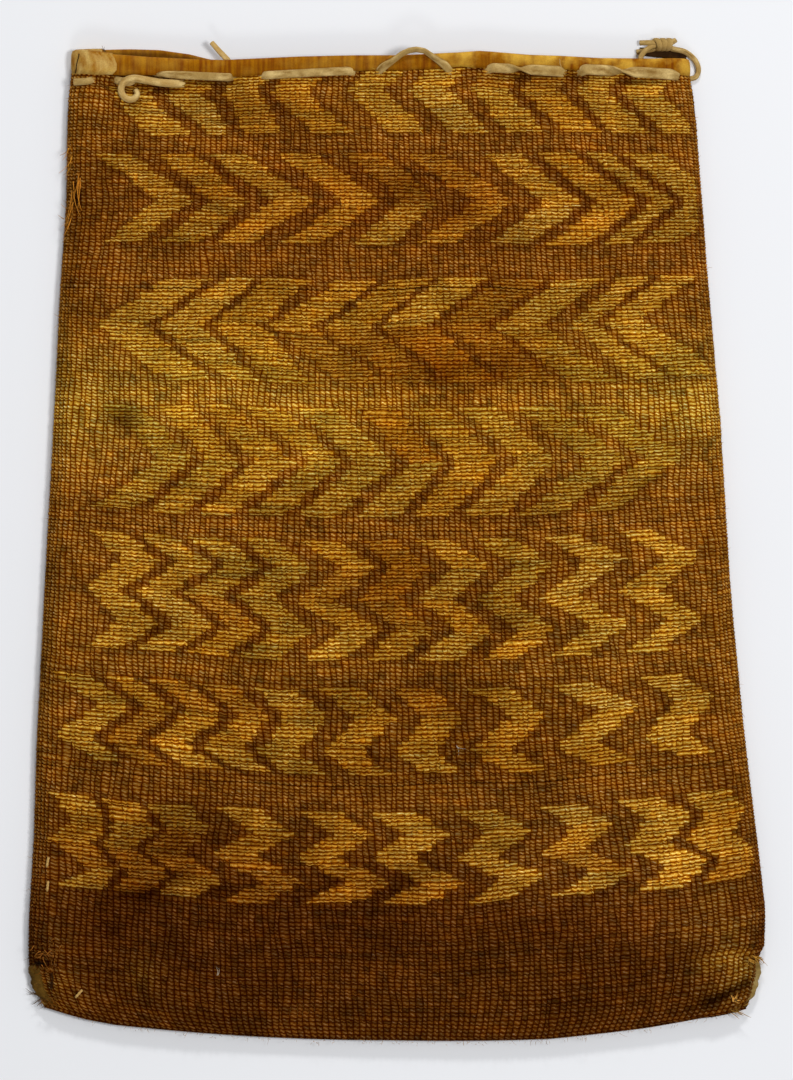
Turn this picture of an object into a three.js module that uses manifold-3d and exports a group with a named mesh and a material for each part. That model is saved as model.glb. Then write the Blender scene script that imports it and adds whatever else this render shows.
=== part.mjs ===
// A flat twined bag lying on its back, front face up, with its mouth towards +Y.
// Millimetres, +Z up. The origin is the middle of the part's footprint, on the surface it lies on.

import * as THREE from 'three';
import { mergeVertices } from 'three/addons/utils/BufferGeometryUtils.js';
import Module from 'manifold-3d';

const wasm = await Module();
wasm.setup();

const { lerp, clamp, smoothstep, degToRad } = THREE.MathUtils;

// Bag outline
const BAG_HEIGHT = 590;
const MOUTH_WIDTH = 374;
const BASE_WIDTH = 440;
const MOUTH_SHIFT = -9;
const MOUTH_ARCH = 2.4;
const BASE_SAG = 14.4;
const SAG_POWER = 0.9;
const FULL_WIDTH_AT = 0.9;
const RIGHT_WAIST = 3;
const CORNER_INSET = 14;
const CORNER_RISE = 34;

// Bag section
const THICKNESS = 18;
const WALL = 2.6;
const FRONT_SHOULDER = 12;
const BACK_SHOULDER = 9;
const SIDE_TUCK = 2.5;
const UPPER_SIDE_HEIGHT = 0.64;
const LOWER_SIDE_HEIGHT = 0.3;
const MOUTH_TAPER = 60;
const MOUTH_DIP = 2;
const MOUTH_LIFT = 2.2;
const BASE_TAPER = 46;
const BASE_DIP = 9;
const BASE_LIFT = 1.5;

// Weave: each course stands for a group of twined rows
const WARPS = 112;
const ROWS = 240;
const ROWS_PER_COURSE = 6;
const COURSE_GROOVE = 1.2;
const CREST_SHARE = 0.66;
const HUSK_RELIEF = 1.1;
const HUSK_ROOT = 0.3;
const HUSK_EDGE = 0.5;
const HUSK_SPACING = 1.5;
const HUSK_LEAST = 0.8;

// Hide binding and lacing
const BINDING_DEPTH = 9;
const HIDE = 0.9;
const LAP_WIDTH = 28;
const LAP_STEP = 0.9;
const LACE_DROP = 12.2;
const THONG_WIDTH = 4.6;
const THONG_THICKNESS = 1.4;
const SLOT_LENGTH = 8.4;
const SLOT_CLEARANCE = 0.6;
const DIVE_RUN = 4.2;
const TAIL_WIDTH = 3.8;
const TAIL_THICKNESS = 1.8;
const TAIL_STEP = 3.6;
const KNOT_STANDS_PROUD = 10;
const KNOT_RADIUS = 2.6;
const KNOT_CORD = 1.3;

// Worn corners and mending
const PATCH_WIDTH = 11;
const PATCH_HEIGHT = 29;
const PATCH_TILT = 14;
const STITCH_LENGTH = 5.4;
const STITCH_RADIUS = 0.8;

// Gap kept between pieces that touch
const CLEARANCE = 0.3;
const BEYOND = 14;

// The weaver's chart of the husk zigzags. Each band turns at its levels, counted in rows from the binding.
// Its figures stand at the even warps on the first, third and fifth level and at the odd warps between.
const HUSK_BANDS = [
  {
    levels: [-7, 4.5, 15.5],
    even: [15, 25, 31, 44, 57, 68, 78, 88, 97, 106],
    odd: [7, 17, 28, 36, 50, 61, 72, 81, 91, 99],
    width: 7,
  },
  {
    levels: [21, 32, 42],
    even: [7, 18, 27, 39, 51, 62, 75, 85, 94, 101],
    odd: [15, 25, 37, 49, 58, 71, 84, 93, 101, 107],
    width: 6.5,
  },
  {
    levels: [52, 64, 76.5],
    even: [19, 29, 36, 49, 58, 67, 77, 87, 99, 105],
    odd: [8, 17, 26, 36, 45, 56, 67, 75, 87, 94],
    width: 8,
  },
  {
    levels: [84, 97, 110],
    even: [9, 17, 25, 33, 42, 51, 60, 69, 78, 89],
    odd: [18, 26, 34, 43, 51, 60, 68, 78, 90, 99],
    width: 6.5,
  },
  {
    levels: [116, 123, 130, 137.5, 146],
    even: [7, 15, 23, 32, 42, 52, 61, 71, 82, 94],
    odd: [12, 20, 29, 36, 48, 56, 66, 76, 89, 101],
    width: 6,
  },
  {
    levels: [153.5, 160, 168, 176],
    even: [2, 11, 18, 26, 35, 45, 57, 69, 83, 96],
    odd: [9, 16, 22, 32, 39, 50, 61, 74, 89, 100],
    width: 7,
  },
  {
    levels: [183, 189, 195, 201, 207.5],
    even: [3, 11, 18, 27, 41, 54, 67, 80, 93, 103],
    odd: [6, 13, 21, 32, 47, 59, 72, 85, 97, 104],
    width: 5.5,
  },
];

// Lacing holes, counted in warps from the left, in the order in which each thong meets them
const FRONT_HOLES = [4, 8, 12, 16, 29.5, 34.5, 51, 55.5, 68.5, 75, 88, 93, 108];
const BACK_HOLES = [106.5, 94.5, 88.5, 70.5, 64, 46, 40, 22, 16];
const THONG_START_INSET = 3;
const FRONT_END_DROP = 2.4;
const LOOP_HOLE = 7;
const LOOP_HEIGHT = 15.4;
const LOOP_STEPS = 12;
const CURL_HOLE_WARP = 20.2;
const CURL_HOLE_DROP = 15.8;
const UPRIGHT_WARP = 31.2;
const KNOT_INSET = 17.8;

// Colours
const TWINING_COLOUR = '#8a5a1e';
const HIDE_COLOUR = '#b0802c';
const THONG_COLOUR = '#c4a874';
const PATCH_COLOUR = '#7d5a22';

// Derived places
const BASE_Y = -(BAG_HEIGHT + KNOT_STANDS_PROUD) / 2;
const MOUTH_EDGE_Y = BASE_Y + BAG_HEIGHT - MOUTH_ARCH;
const SIDE_LENGTH = BAG_HEIGHT - MOUTH_ARCH - BASE_SAG;
const BINDING_V = BINDING_DEPTH / SIDE_LENGTH;
const COURSES = Math.round(ROWS / ROWS_PER_COURSE);
const COURSE_ROWS = ROWS / COURSES;
const COURSE_FLANK = COURSE_ROWS * (1 - CREST_SHARE) / 2;

// The value at x on straight lines between stops, held at the ends
function between(stops, values, x) {
  const beyond = stops.findIndex((stop) => stop > x);
  const next = beyond < 0 ? stops.length - 1 : Math.max(beyond, 1);
  const share = clamp((x - stops[next - 1]) / (stops[next] - stops[next - 1]), 0, 1);
  return lerp(values[next - 1], values[next], share);
}

// The bag's surface: v runs from 0 at the mouth to 1 at the base, along the side edges

function sideEdges(v) {
  const widening = clamp(v / FULL_WIDTH_AT, 0, 1);
  const toBase = (1 - v) * SIDE_LENGTH;
  const rounding = clamp(1 - toBase / CORNER_RISE, 0, 1);
  const corner = CORNER_INSET * (1 - Math.sqrt(1 - rounding ** 2));
  const left = lerp(MOUTH_SHIFT - MOUTH_WIDTH / 2, -BASE_WIDTH / 2, widening) + corner;
  const waist = RIGHT_WAIST * Math.sin(Math.PI * widening);
  const right = lerp(MOUTH_SHIFT + MOUTH_WIDTH / 2, BASE_WIDTH / 2, widening) - waist - corner;
  return { left, right };
}

function rowY(v, x) {
  const { left, right } = sideEdges(v);
  const across = clamp((2 * x - left - right) / (right - left), -1, 1);
  const sag = lerp(-MOUTH_ARCH, BASE_SAG, clamp(v, 0, 1) ** SAG_POWER);
  return MOUTH_EDGE_Y - v * SIDE_LENGTH - sag * (1 - across ** 2);
}

// The v whose row passes through a place on the front
function vAtPlace(x, y) {
  let v = 0;
  for (let pass = 0; pass < 8; pass += 1) v += (rowY(v, x) - y) / SIDE_LENGTH;
  return v;
}

function frontZ(v) {
  const mouth = 1 - smoothstep(v * SIDE_LENGTH, 0, MOUTH_TAPER);
  const base = 1 - smoothstep((1 - v) * SIDE_LENGTH, 0, BASE_TAPER);
  return THICKNESS - MOUTH_DIP * mouth - BASE_DIP * base;
}

function backZ(v) {
  const mouth = 1 - smoothstep(v * SIDE_LENGTH, 0, MOUTH_TAPER);
  const base = 1 - smoothstep((1 - v) * SIDE_LENGTH, 0, BASE_TAPER);
  return MOUTH_LIFT * mouth + BASE_LIFT * base;
}

const vAtDrop = (drop) => drop / SIDE_LENGTH;
const vAtRow = (row) => lerp(BINDING_V, 1, row / ROWS);

// One ring round the bag, in the order in which a cylinder's sides follow each other from +Z to +X
const RING = [
  ...[0.5, 0.75, 1].map((across) => ({ face: 'front', across })),
  { face: 'upper', across: 1 },
  { face: 'lower', across: 1 },
  ...[1, 0.75, 0.5, 0.25, 0].map((across) => ({ face: 'back', across })),
  { face: 'lower', across: 0 },
  { face: 'upper', across: 0 },
  ...[0, 0.25].map((across) => ({ face: 'front', across })),
];

function ringPoint({ face, across }, v, inset) {
  const edges = sideEdges(v);
  const left = edges.left + inset;
  const right = edges.right - inset;
  const front = frontZ(v) - inset;
  const back = backZ(v) + inset;
  const { tuck, height } = {
    front: { tuck: FRONT_SHOULDER, height: 1 },
    upper: { tuck: SIDE_TUCK, height: UPPER_SIDE_HEIGHT },
    lower: { tuck: 0, height: LOWER_SIDE_HEIGHT },
    back: { tuck: BACK_SHOULDER, height: 0 },
  }[face];
  const x = lerp(left + tuck, right - tuck, across);
  return new THREE.Vector3(x, rowY(v, x), lerp(back, front, height));
}

// A closed loft of rings: a cylinder whose sides and height steps are moved onto the bag's surface
function loft(stations) {
  const steps = stations.length - 1;
  const geometry = new THREE.CylinderGeometry(1, 1, 1, RING.length, steps);
  const position = geometry.attributes.position;
  const rings = stations.map(({ v, inset }) => RING.map((stop) => ringPoint(stop, v, inset)));
  const corner = new THREE.Vector3();
  for (let i = 0; i < position.count; i += 1) {
    corner.fromBufferAttribute(position, i);
    const ring = rings[Math.round((0.5 - corner.y) * steps)];
    const turn = Math.atan2(corner.x, corner.z) / (2 * Math.PI);
    const stop = (Math.round(turn * RING.length) + RING.length) % RING.length;
    const onAxis = Math.hypot(corner.x, corner.z) < 0.5;
    const front = ring[0];
    const back = ring[RING.findIndex(({ face, across }) => face === 'back' && across === 0.5)];
    const target = onAxis ? front.clone().lerp(back, 0.5) : ring[stop];
    position.setXYZ(i, target.x, target.y, target.z);
  }
  return geometry;
}

// Solids

function solidOf(geometry) {
  const bare = geometry.clone();
  bare.deleteAttribute('normal');
  bare.deleteAttribute('uv');
  const welded = mergeVertices(bare);
  return new wasm.Manifold(new wasm.Mesh({
    numProp: 3,
    vertProperties: Float32Array.from(welded.attributes.position.array),
    triVerts: Uint32Array.from(welded.index.array),
  }));
}

function geometryOf(solid) {
  const { vertProperties, triVerts } = solid.getMesh();
  const geometry = new THREE.BufferGeometry();
  geometry.setAttribute('position', new THREE.BufferAttribute(Float32Array.from(vertProperties), 3));
  geometry.setIndex(new THREE.BufferAttribute(Uint32Array.from(triVerts), 1));
  geometry.computeVertexNormals();
  return geometry;
}

const joined = (solids) => wasm.Manifold.union(solids);

function boxSolid(low, high) {
  const box = new THREE.Box3(new THREE.Vector3(...low), new THREE.Vector3(...high));
  const size = box.getSize(new THREE.Vector3());
  const centre = box.getCenter(new THREE.Vector3());
  const geometry = new THREE.BoxGeometry(size.x, size.y, size.z);
  return solidOf(geometry.translate(centre.x, centre.y, centre.z));
}

// Twined wall

function courseStations() {
  const stations = [{ v: 0, inset: COURSE_GROOVE }, { v: BINDING_V, inset: COURSE_GROOVE }];
  for (let course = 0; course < COURSES; course += 1) {
    const firstRow = course * COURSE_ROWS;
    const lastRow = firstRow + COURSE_ROWS;
    stations.push({ v: vAtRow(firstRow + COURSE_FLANK), inset: 0 });
    stations.push({ v: vAtRow(lastRow - COURSE_FLANK), inset: 0 });
    stations.push({ v: vAtRow(lastRow), inset: COURSE_GROOVE });
  }
  return stations;
}

function cavityStations(inset) {
  const tapers = [0, MOUTH_TAPER / 3, MOUTH_TAPER * 2 / 3, MOUTH_TAPER];
  const fromBase = [CORNER_RISE + BASE_TAPER, BASE_TAPER, CORNER_RISE, CORNER_RISE / 2, 2 * inset];
  const places = [-BEYOND, ...tapers, SIDE_LENGTH / 2, ...fromBase.map((rise) => SIDE_LENGTH - rise)];
  return places.map((drop) => ({ v: vAtDrop(drop), inset }));
}

function zigzagWarp({ levels, even, odd }, figure, row) {
  const warps = levels.map((_, turn) => (turn % 2 ? odd : even)[figure]);
  return between(levels, warps, row);
}

// One raised bar of husk on a course's crest: a low roof whose corners follow the course
function huskBar(startWarp, endWarp, course) {
  const topV = vAtRow(course * COURSE_ROWS + COURSE_FLANK) + vAtDrop(HUSK_EDGE);
  const lowV = vAtRow((course + 1) * COURSE_ROWS - COURSE_FLANK) - vAtDrop(HUSK_EDGE);
  const roof = new THREE.Shape([[0, -HUSK_ROOT], [1, -HUSK_ROOT], [0.5, HUSK_RELIEF]].map(
    ([across, relief]) => new THREE.Vector2(across, relief),
  ));
  const geometry = new THREE.ExtrudeGeometry(roof, { depth: 1, bevelEnabled: false });
  const position = geometry.attributes.position;
  for (let i = 0; i < position.count; i += 1) {
    const v = lerp(lowV, topV, position.getX(i));
    const { left, right } = sideEdges(v);
    const x = lerp(left, right, lerp(startWarp, endWarp, position.getZ(i)) / WARPS);
    position.setXYZ(i, x, chordY(v, x), frontZ(v) + position.getY(i));
  }
  return solidOf(geometry);
}

// The ring's points on the given faces, from left to right
function frontPoints(v, faces) {
  const stops = RING.filter(({ face }) => faces.includes(face));
  return stops.map((stop) => ringPoint(stop, v, 0)).sort((a, b) => a.x - b.x);
}

// Y on the straight chords between the front's ring stops, where the crests lie
function chordY(v, x) {
  const points = frontPoints(v, ['front']);
  return between(points.map((point) => point.x), points.map((point) => point.y), x);
}

// Z of the front's outer surface, from its flat middle down over the shoulders
function frontSurfaceZ(v, x) {
  const points = frontPoints(v, ['front', 'upper']);
  return between(points.map((point) => point.x), points.map((point) => point.z), x);
}

// The bars of one band on one course, kept apart from each other and off the bag's rounded shoulders
function courseBars(band, course) {
  const row = (course + 0.5) * COURSE_ROWS;
  if (row < band.levels[0] - 1 || row > band.levels.at(-1) + 1) return [];
  const { left, right } = sideEdges(vAtRow(row));
  const shoulder = (FRONT_SHOULDER + HUSK_EDGE) / (right - left) * WARPS;
  const starts = band.even.map((_, figure) => zigzagWarp(band, figure, row));
  return starts.flatMap((start, figure) => {
    const limit = (starts[figure + 1] ?? WARPS) - HUSK_SPACING;
    const from = Math.max(start, shoulder);
    const to = Math.min(start + band.width, limit, WARPS - shoulder);
    return to - from > HUSK_LEAST ? [huskBar(from, to, course)] : [];
  });
}

function huskBars() {
  const courses = Array.from({ length: COURSES - 1 }, (_, course) => course + 1);
  return HUSK_BANDS.flatMap((band) => courses.flatMap((course) => courseBars(band, course)));
}

function laceY(x) {
  return rowY(0, x) - LACE_DROP;
}

function lacingSlot(x, y, low, high) {
  const half = THONG_WIDTH / 2 + SLOT_CLEARANCE;
  return boxSolid([x - SLOT_LENGTH / 2, y - half, low], [x + SLOT_LENGTH / 2, y + half, high]);
}

const MOUTH = sideEdges(0);
const atWarp = (warp) => lerp(MOUTH.left, MOUTH.right, warp / WARPS);
const FRONT_HOLE_XS = FRONT_HOLES.map(atWarp);
const BACK_HOLE_XS = BACK_HOLES.map(atWarp);
const CURL_X = atWarp(CURL_HOLE_WARP);
const CURL_Y = MOUTH_EDGE_Y - CURL_HOLE_DROP;
const LACE_V = vAtDrop(LACE_DROP);
const MID_Z = lerp(backZ(LACE_V), frontZ(LACE_V), 0.5);

function cornerBlock(side, grow) {
  const width = PATCH_WIDTH + BEYOND;
  const height = PATCH_HEIGHT + BEYOND;
  const geometry = new THREE.BoxGeometry(width + 2 * grow, height + 2 * grow, 4 * THICKNESS);
  geometry.rotateZ(side * degToRad(PATCH_TILT));
  const x = side * (BASE_WIDTH / 2 - PATCH_WIDTH + width / 2);
  const y = MOUTH_EDGE_Y - SIDE_LENGTH + PATCH_HEIGHT - height / 2;
  return solidOf(geometry.translate(x, y, THICKNESS / 2));
}

const cavity = solidOf(loft(cavityStations(WALL)));
const slots = [
  ...FRONT_HOLE_XS.map((x) => lacingSlot(x, laceY(x), MID_Z, THICKNESS + BEYOND)),
  ...BACK_HOLE_XS.map((x) => lacingSlot(x, laceY(x), -BEYOND, MID_Z)),
  lacingSlot(CURL_X, CURL_Y, MID_Z, THICKNESS + BEYOND),
];

function twinedBag() {
  const outer = solidOf(loft(courseStations()));
  const wall = joined([outer, ...huskBars()]).subtract(cavity);
  const cuts = [...slots, cornerBlock(-1, CLEARANCE), cornerBlock(1, CLEARANCE)];
  return cuts.reduce((whole, cut) => whole.subtract(cut), wall);
}

function cornerPatch(side) {
  const smooth = solidOf(loft(courseStations().map(({ v }) => ({ v, inset: COURSE_GROOVE / 2 }))));
  return smooth.intersect(cornerBlock(side, 0)).subtract(cavity);
}

// Hide binding folded over the mouth edge

function sleeve(inset, topDrop, lowDrop) {
  const drops = [topDrop, 0, lowDrop].sort((a, b) => a - b);
  return solidOf(loft(drops.map((drop) => ({ v: vAtDrop(drop), inset }))));
}

function foldedStrip(outside) {
  const innerFace = WALL + CLEARANCE;
  const outerFace = COURSE_GROOVE - CLEARANCE;
  const whole = sleeve(outerFace - outside, -(outside + CLEARANCE), BINDING_DEPTH - CLEARANCE);
  const hollow = sleeve(innerFace + HIDE, -BEYOND, 2 * BINDING_DEPTH);
  const wallOuter = sleeve(outerFace, -CLEARANCE, 2 * BINDING_DEPTH);
  const wallInner = sleeve(innerFace, -BEYOND, 2 * BINDING_DEPTH + BEYOND);
  return whole.subtract(hollow).subtract(wallOuter.subtract(wallInner));
}

function rimBinding() {
  const lapBlock = boxSolid(
    [MOUTH.left - BEYOND, MOUTH_EDGE_Y - 2 * BINDING_DEPTH, MID_Z],
    [MOUTH.left + LAP_WIDTH, MOUTH_EDGE_Y + BEYOND, THICKNESS + BEYOND],
  );
  return foldedStrip(HIDE).add(foldedStrip(HIDE + LAP_STEP).intersect(lapBlock));
}

// Lacing thongs: flat ribbons that weave in and out of the wall just below the binding

const DIVE = [[-1, 0], [-0.45, 0.16], [0.45, 0.84], [1, 1]];
const THONG_RISE = CLEARANCE + THONG_THICKNESS / 2;
const FRONT_OUT_Z = frontZ(LACE_V) + THONG_RISE;
const FRONT_IN_Z = frontZ(LACE_V) - WALL - THONG_RISE;
const BACK_OUT_Z = backZ(LACE_V) - THONG_RISE;
const BACK_IN_Z = backZ(LACE_V) + WALL + THONG_RISE;

// The slack loop's rise above the lacing line, between the two slots that it leaves and enters
function loopRise(x) {
  const [start, end] = FRONT_HOLE_XS.slice(LOOP_HOLE, LOOP_HOLE + 2);
  const along = (x - start - DIVE_RUN) / (end - start - 2 * DIVE_RUN);
  return LOOP_HEIGHT * Math.sin(Math.PI * clamp(along, 0, 1)) ** 2;
}

// The route in X and Z: level, down through one hole, level, up through the next
function lacingRoute(holes, direction, outZ, inZ) {
  return holes.flatMap((x, hole) => {
    const [from, to] = hole % 2 === 0 ? [outZ, inZ] : [inZ, outZ];
    return DIVE.map(([along, share]) => {
      return new THREE.Vector2(x + direction * along * DIVE_RUN, lerp(from, to, share));
    });
  });
}

// A ribbon: the route's thickened profile, drawn out to the thong's width and laid along the lacing line
function ribbon(route, rise) {
  const half = THONG_THICKNESS / 2;
  const offset = (side) => route.map((point, i) => {
    const ahead = route[Math.min(i + 1, route.length - 1)];
    const behind = route[Math.max(i - 1, 0)];
    const along = ahead.clone().sub(behind).normalize();
    return new THREE.Vector2(point.x - side * half * along.y, point.y + side * half * along.x);
  });
  const profile = new THREE.Shape([...offset(1), ...offset(-1).reverse()]);
  const geometry = new THREE.ExtrudeGeometry(profile, { depth: THONG_WIDTH, bevelEnabled: false });
  geometry.rotateX(Math.PI / 2);
  const position = geometry.attributes.position;
  for (let i = 0; i < position.count; i += 1) {
    const x = position.getX(i);
    position.setY(i, position.getY(i) + THONG_WIDTH / 2 + laceY(x) + rise(x));
  }
  return geometry;
}

function frontThong() {
  const route = lacingRoute(FRONT_HOLE_XS, 1, FRONT_OUT_Z, FRONT_IN_Z);
  route.at(-1).y -= FRONT_END_DROP;
  route.at(-2).y -= FRONT_END_DROP / 2;
  const startX = MOUTH.left + THONG_START_INSET;
  const start = new THREE.Vector2(startX, frontSurfaceZ(LACE_V, startX) + 2 * THONG_RISE);
  const loopStart = (LOOP_HOLE + 1) * DIVE.length;
  const loop = Array.from({ length: LOOP_STEPS }, (_, step) => {
    return route[loopStart - 1].clone().lerp(route[loopStart], (step + 1) / (LOOP_STEPS + 1));
  });
  return ribbon([start, ...route.slice(0, loopStart), ...loop, ...route.slice(loopStart)], loopRise);
}

function backThong() {
  const start = new THREE.Vector2(MOUTH.right - THONG_START_INSET, BACK_OUT_Z);
  return ribbon([start, ...lacingRoute(BACK_HOLE_XS, -1, BACK_OUT_Z, BACK_IN_Z)], () => 0);
}

// Loose ends: an oval section carried along a route chosen by hand

function cord(points, width = TAIL_WIDTH, thickness = TAIL_THICKNESS) {
  const stops = points.map((point) => new THREE.Vector3(...point));
  const path = new THREE.CatmullRomCurve3(stops, false, 'centripetal');
  const firstNormal = path.computeFrenetFrames(1, false).normals[0];
  const flatways = Math.abs(firstNormal.z) > 0.7;
  const radii = flatways ? [thickness / 2, width / 2] : [width / 2, thickness / 2];
  const section = new THREE.Shape();
  section.absellipse(0, 0, ...radii, 0, 2 * Math.PI);
  const steps = Math.ceil(path.getLength() / TAIL_STEP);
  return new THREE.ExtrudeGeometry(section, { steps, extrudePath: path, curveSegments: 4 });
}

const ON_FRONT_Z = frontZ(vAtDrop(2 * LACE_DROP)) + CLEARANCE + TAIL_THICKNESS / 2;
const OVER_STITCH_Z = FRONT_OUT_Z + THONG_THICKNESS / 2 + CLEARANCE + TAIL_THICKNESS / 2;
const UNDER_BINDING = frontZ(0) - WALL - 3 * CLEARANCE - HIDE;
const UNDER_THONG = FRONT_IN_Z - THONG_THICKNESS / 2 - CLEARANCE;
const UNDER_RIM_Z = Math.min(UNDER_BINDING, UNDER_THONG) - TAIL_THICKNESS / 2;

const moved = (route, x, y) => route.map(([dx, dy, z]) => [x + dx, y + dy, z]);

// From inside the bag, out through its hole, over the stitch beside it and round in a hook
const CURL_ROUTE = moved([
  [7.1, -0.2, FRONT_IN_Z],
  [3.6, -0.1, FRONT_IN_Z],
  [-0.4, 0, lerp(FRONT_IN_Z, ON_FRONT_Z, 0.5)],
  [-4.4, 0, ON_FRONT_Z],
  [-13, 0.6, ON_FRONT_Z + 0.5],
  [-22, 2.1, OVER_STITCH_Z],
  [-29.2, 3, OVER_STITCH_Z],
  [-34, 1.2, OVER_STITCH_Z],
  [-36.1, -2.4, OVER_STITCH_Z],
  [-35.5, -6.6, ON_FRONT_Z + 0.6],
  [-32.2, -9.3, ON_FRONT_Z + 0.2],
  [-28.6, -9, ON_FRONT_Z + 0.1],
  [-26.5, -6.3, ON_FRONT_Z + 0.1],
  [-27.7, -3.6, ON_FRONT_Z + 0.1],
], CURL_X, CURL_Y);

// Up behind the front rim and out of the mouth
const UPRIGHT_ROUTE = moved([
  [0, -19.6, UNDER_RIM_Z],
  [-5.8, -8.6, UNDER_RIM_Z],
  [-8.8, -2.1, UNDER_RIM_Z],
  [-14.2, 4, UNDER_RIM_Z + 0.4],
  [-19, 9.4, UNDER_RIM_Z + 0.8],
], atWarp(UPRIGHT_WARP), MOUTH_EDGE_Y);

// The knot lies beyond the mouth's right end: one arm comes out of the mouth, one goes round to the back
const KNOT_X = MOUTH.right - KNOT_INSET;
const KNOT_Y = BASE_Y + BAG_HEIGHT + KNOT_STANDS_PROUD - KNOT_RADIUS - KNOT_CORD;
const KNOT_Z = KNOT_RADIUS + KNOT_CORD + CLEARANCE;
const KNOT_TURNS = [-1.9, 1.9];
const KNOT_STRANDS = [
  [
    [7.3, -20.1, MID_Z - 0.5],
    [-2.2, -18.6, MID_Z - 0.3],
    [-10.8, -14.7, MID_Z - 0.8],
    [-13.2, -8.7, MID_Z - 1.3],
    [-10.4, -3.9, KNOT_Z + 2],
    [-6.2, -1.1, KNOT_Z + 0.6],
    [0, 0, KNOT_Z],
  ],
  [
    [0, 0, KNOT_Z],
    [6.3, -2.5, KNOT_Z - 0.6],
    [13.8, -4.3, KNOT_Z - 1.4],
    [19.8, -9.5, KNOT_Z - 1.6],
    [21.8, -15.1, KNOT_Z - 2],
    [20.2, -19.3, KNOT_Z - 2.8],
    [16.8, -20.4, KNOT_Z - 3],
  ],
  [[0, 0.6, KNOT_Z + 0.8], [-6.6, 1.1, KNOT_Z + 0.4], [-13.6, 1.1, KNOT_Z - 0.8]],
  [[0, -1, KNOT_Z - 0.6], [-7.8, -3.1, KNOT_Z - 1.8], [-15.4, -4.3, KNOT_Z - 2.8]],
  [[0, 0, KNOT_Z + 0.8], [4.8, 0.9, KNOT_Z + 0.4], [8.2, 2.9, KNOT_Z - 0.2]],
];

function thongKnot() {
  const turns = KNOT_TURNS.map((along) => {
    const turn = new THREE.TorusGeometry(KNOT_RADIUS, KNOT_CORD, 6, 10);
    turn.rotateY(Math.PI / 2);
    return solidOf(turn.translate(KNOT_X + along, KNOT_Y, KNOT_Z));
  });
  const strands = KNOT_STRANDS.map((strand) => solidOf(cord(moved(strand, KNOT_X, KNOT_Y))));
  return joined([...turns, ...strands]);
}

// Short pale stitches lying on the weave, along Y, by their rise from the base and inset from the left edge
const STITCHES = {
  mending_stitch_upper: { rise: 105, inset: 9.6 },
  mending_stitch_lower: { rise: 90.6, inset: 10.3 },
  corner_stitch: { rise: 25.8, inset: 26 },
};

function stitch({ rise, inset }) {
  const y = BASE_Y + rise;
  const x = sideEdges((MOUTH_EDGE_Y - y) / SIDE_LENGTH).left + inset;
  const half = STITCH_LENGTH / 2 - STITCH_RADIUS;
  const [low, high] = [-half, half].map((along) => {
    const surface = frontSurfaceZ(vAtPlace(x, y + along), x);
    return new THREE.Vector3(x, y + along, surface + CLEARANCE + STITCH_RADIUS);
  });
  const run = high.clone().sub(low);
  const geometry = new THREE.CapsuleGeometry(STITCH_RADIUS, run.length(), 2, 8);
  const upright = new THREE.Vector3(0, 1, 0);
  geometry.applyQuaternion(new THREE.Quaternion().setFromUnitVectors(upright, run.normalize()));
  const centre = low.lerp(high, 0.5);
  return geometry.translate(centre.x, centre.y, centre.z);
}

const group = new THREE.Group();

function add(name, geometry, colour, roughness) {
  const material = new THREE.MeshStandardMaterial({ color: colour, roughness, metalness: 0 });
  const mesh = new THREE.Mesh(geometry, material);
  mesh.name = name;
  group.add(mesh);
}

add('twined_bag', geometryOf(twinedBag()), TWINING_COLOUR, 0.9);
add('rim_binding', geometryOf(rimBinding()), HIDE_COLOUR, 0.7);
add('front_thong', frontThong(), THONG_COLOUR, 0.75);
add('back_thong', backThong(), THONG_COLOUR, 0.75);
add('curl_tail', cord(CURL_ROUTE), THONG_COLOUR, 0.75);
add('upright_tail', cord(UPRIGHT_ROUTE), THONG_COLOUR, 0.75);
add('thong_knot', geometryOf(thongKnot()), THONG_COLOUR, 0.75);
add('corner_patch_left', geometryOf(cornerPatch(-1)), PATCH_COLOUR, 0.8);
add('corner_patch_right', geometryOf(cornerPatch(1)), PATCH_COLOUR, 0.8);
for (const [name, place] of Object.entries(STITCHES)) add(name, stitch(place), THONG_COLOUR, 0.75);

export default group;
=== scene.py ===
"""Looks of a flat twined bag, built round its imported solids.

The bag lies on its back with its front up and its mouth towards +Y. Every surface is worked out in
millimetres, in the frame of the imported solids, and becomes metres where its mesh is made.
"""

import logging
import math
from dataclasses import dataclass, field
from enum import Enum

import bpy
import numpy as np
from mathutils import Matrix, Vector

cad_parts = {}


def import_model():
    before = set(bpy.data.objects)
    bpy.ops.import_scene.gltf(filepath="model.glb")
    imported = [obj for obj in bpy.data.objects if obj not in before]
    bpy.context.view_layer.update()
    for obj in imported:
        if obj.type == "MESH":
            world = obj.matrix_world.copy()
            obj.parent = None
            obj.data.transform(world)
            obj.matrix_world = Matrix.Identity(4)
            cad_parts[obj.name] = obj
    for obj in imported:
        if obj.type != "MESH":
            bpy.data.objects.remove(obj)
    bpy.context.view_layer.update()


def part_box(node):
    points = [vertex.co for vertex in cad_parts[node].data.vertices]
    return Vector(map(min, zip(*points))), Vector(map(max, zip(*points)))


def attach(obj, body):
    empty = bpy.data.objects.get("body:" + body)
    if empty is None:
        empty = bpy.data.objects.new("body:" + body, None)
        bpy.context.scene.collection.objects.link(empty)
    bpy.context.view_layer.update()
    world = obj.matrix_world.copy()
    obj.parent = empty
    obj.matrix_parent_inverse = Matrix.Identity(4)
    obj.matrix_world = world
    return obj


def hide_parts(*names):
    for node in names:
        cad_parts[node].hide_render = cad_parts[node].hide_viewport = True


LOG = logging.getLogger("twined_bag")
MM = 0.001
BODY = "root"
SEED = 11
CHART_WARPS = 112
CHART_ROWS = 240
ROWS = 268
ROW_EASE = 0.08
RIPPLE_WAVES = 5
RIPPLE_LENGTHS = (0.7, 1.5)
RIPPLE_REACH = 2.2
ROUTE_FINENESS = 60
CAP_BULGE = 0.3
CURVE_POINTS = 201
SETTLING_STEPS = 8
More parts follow.
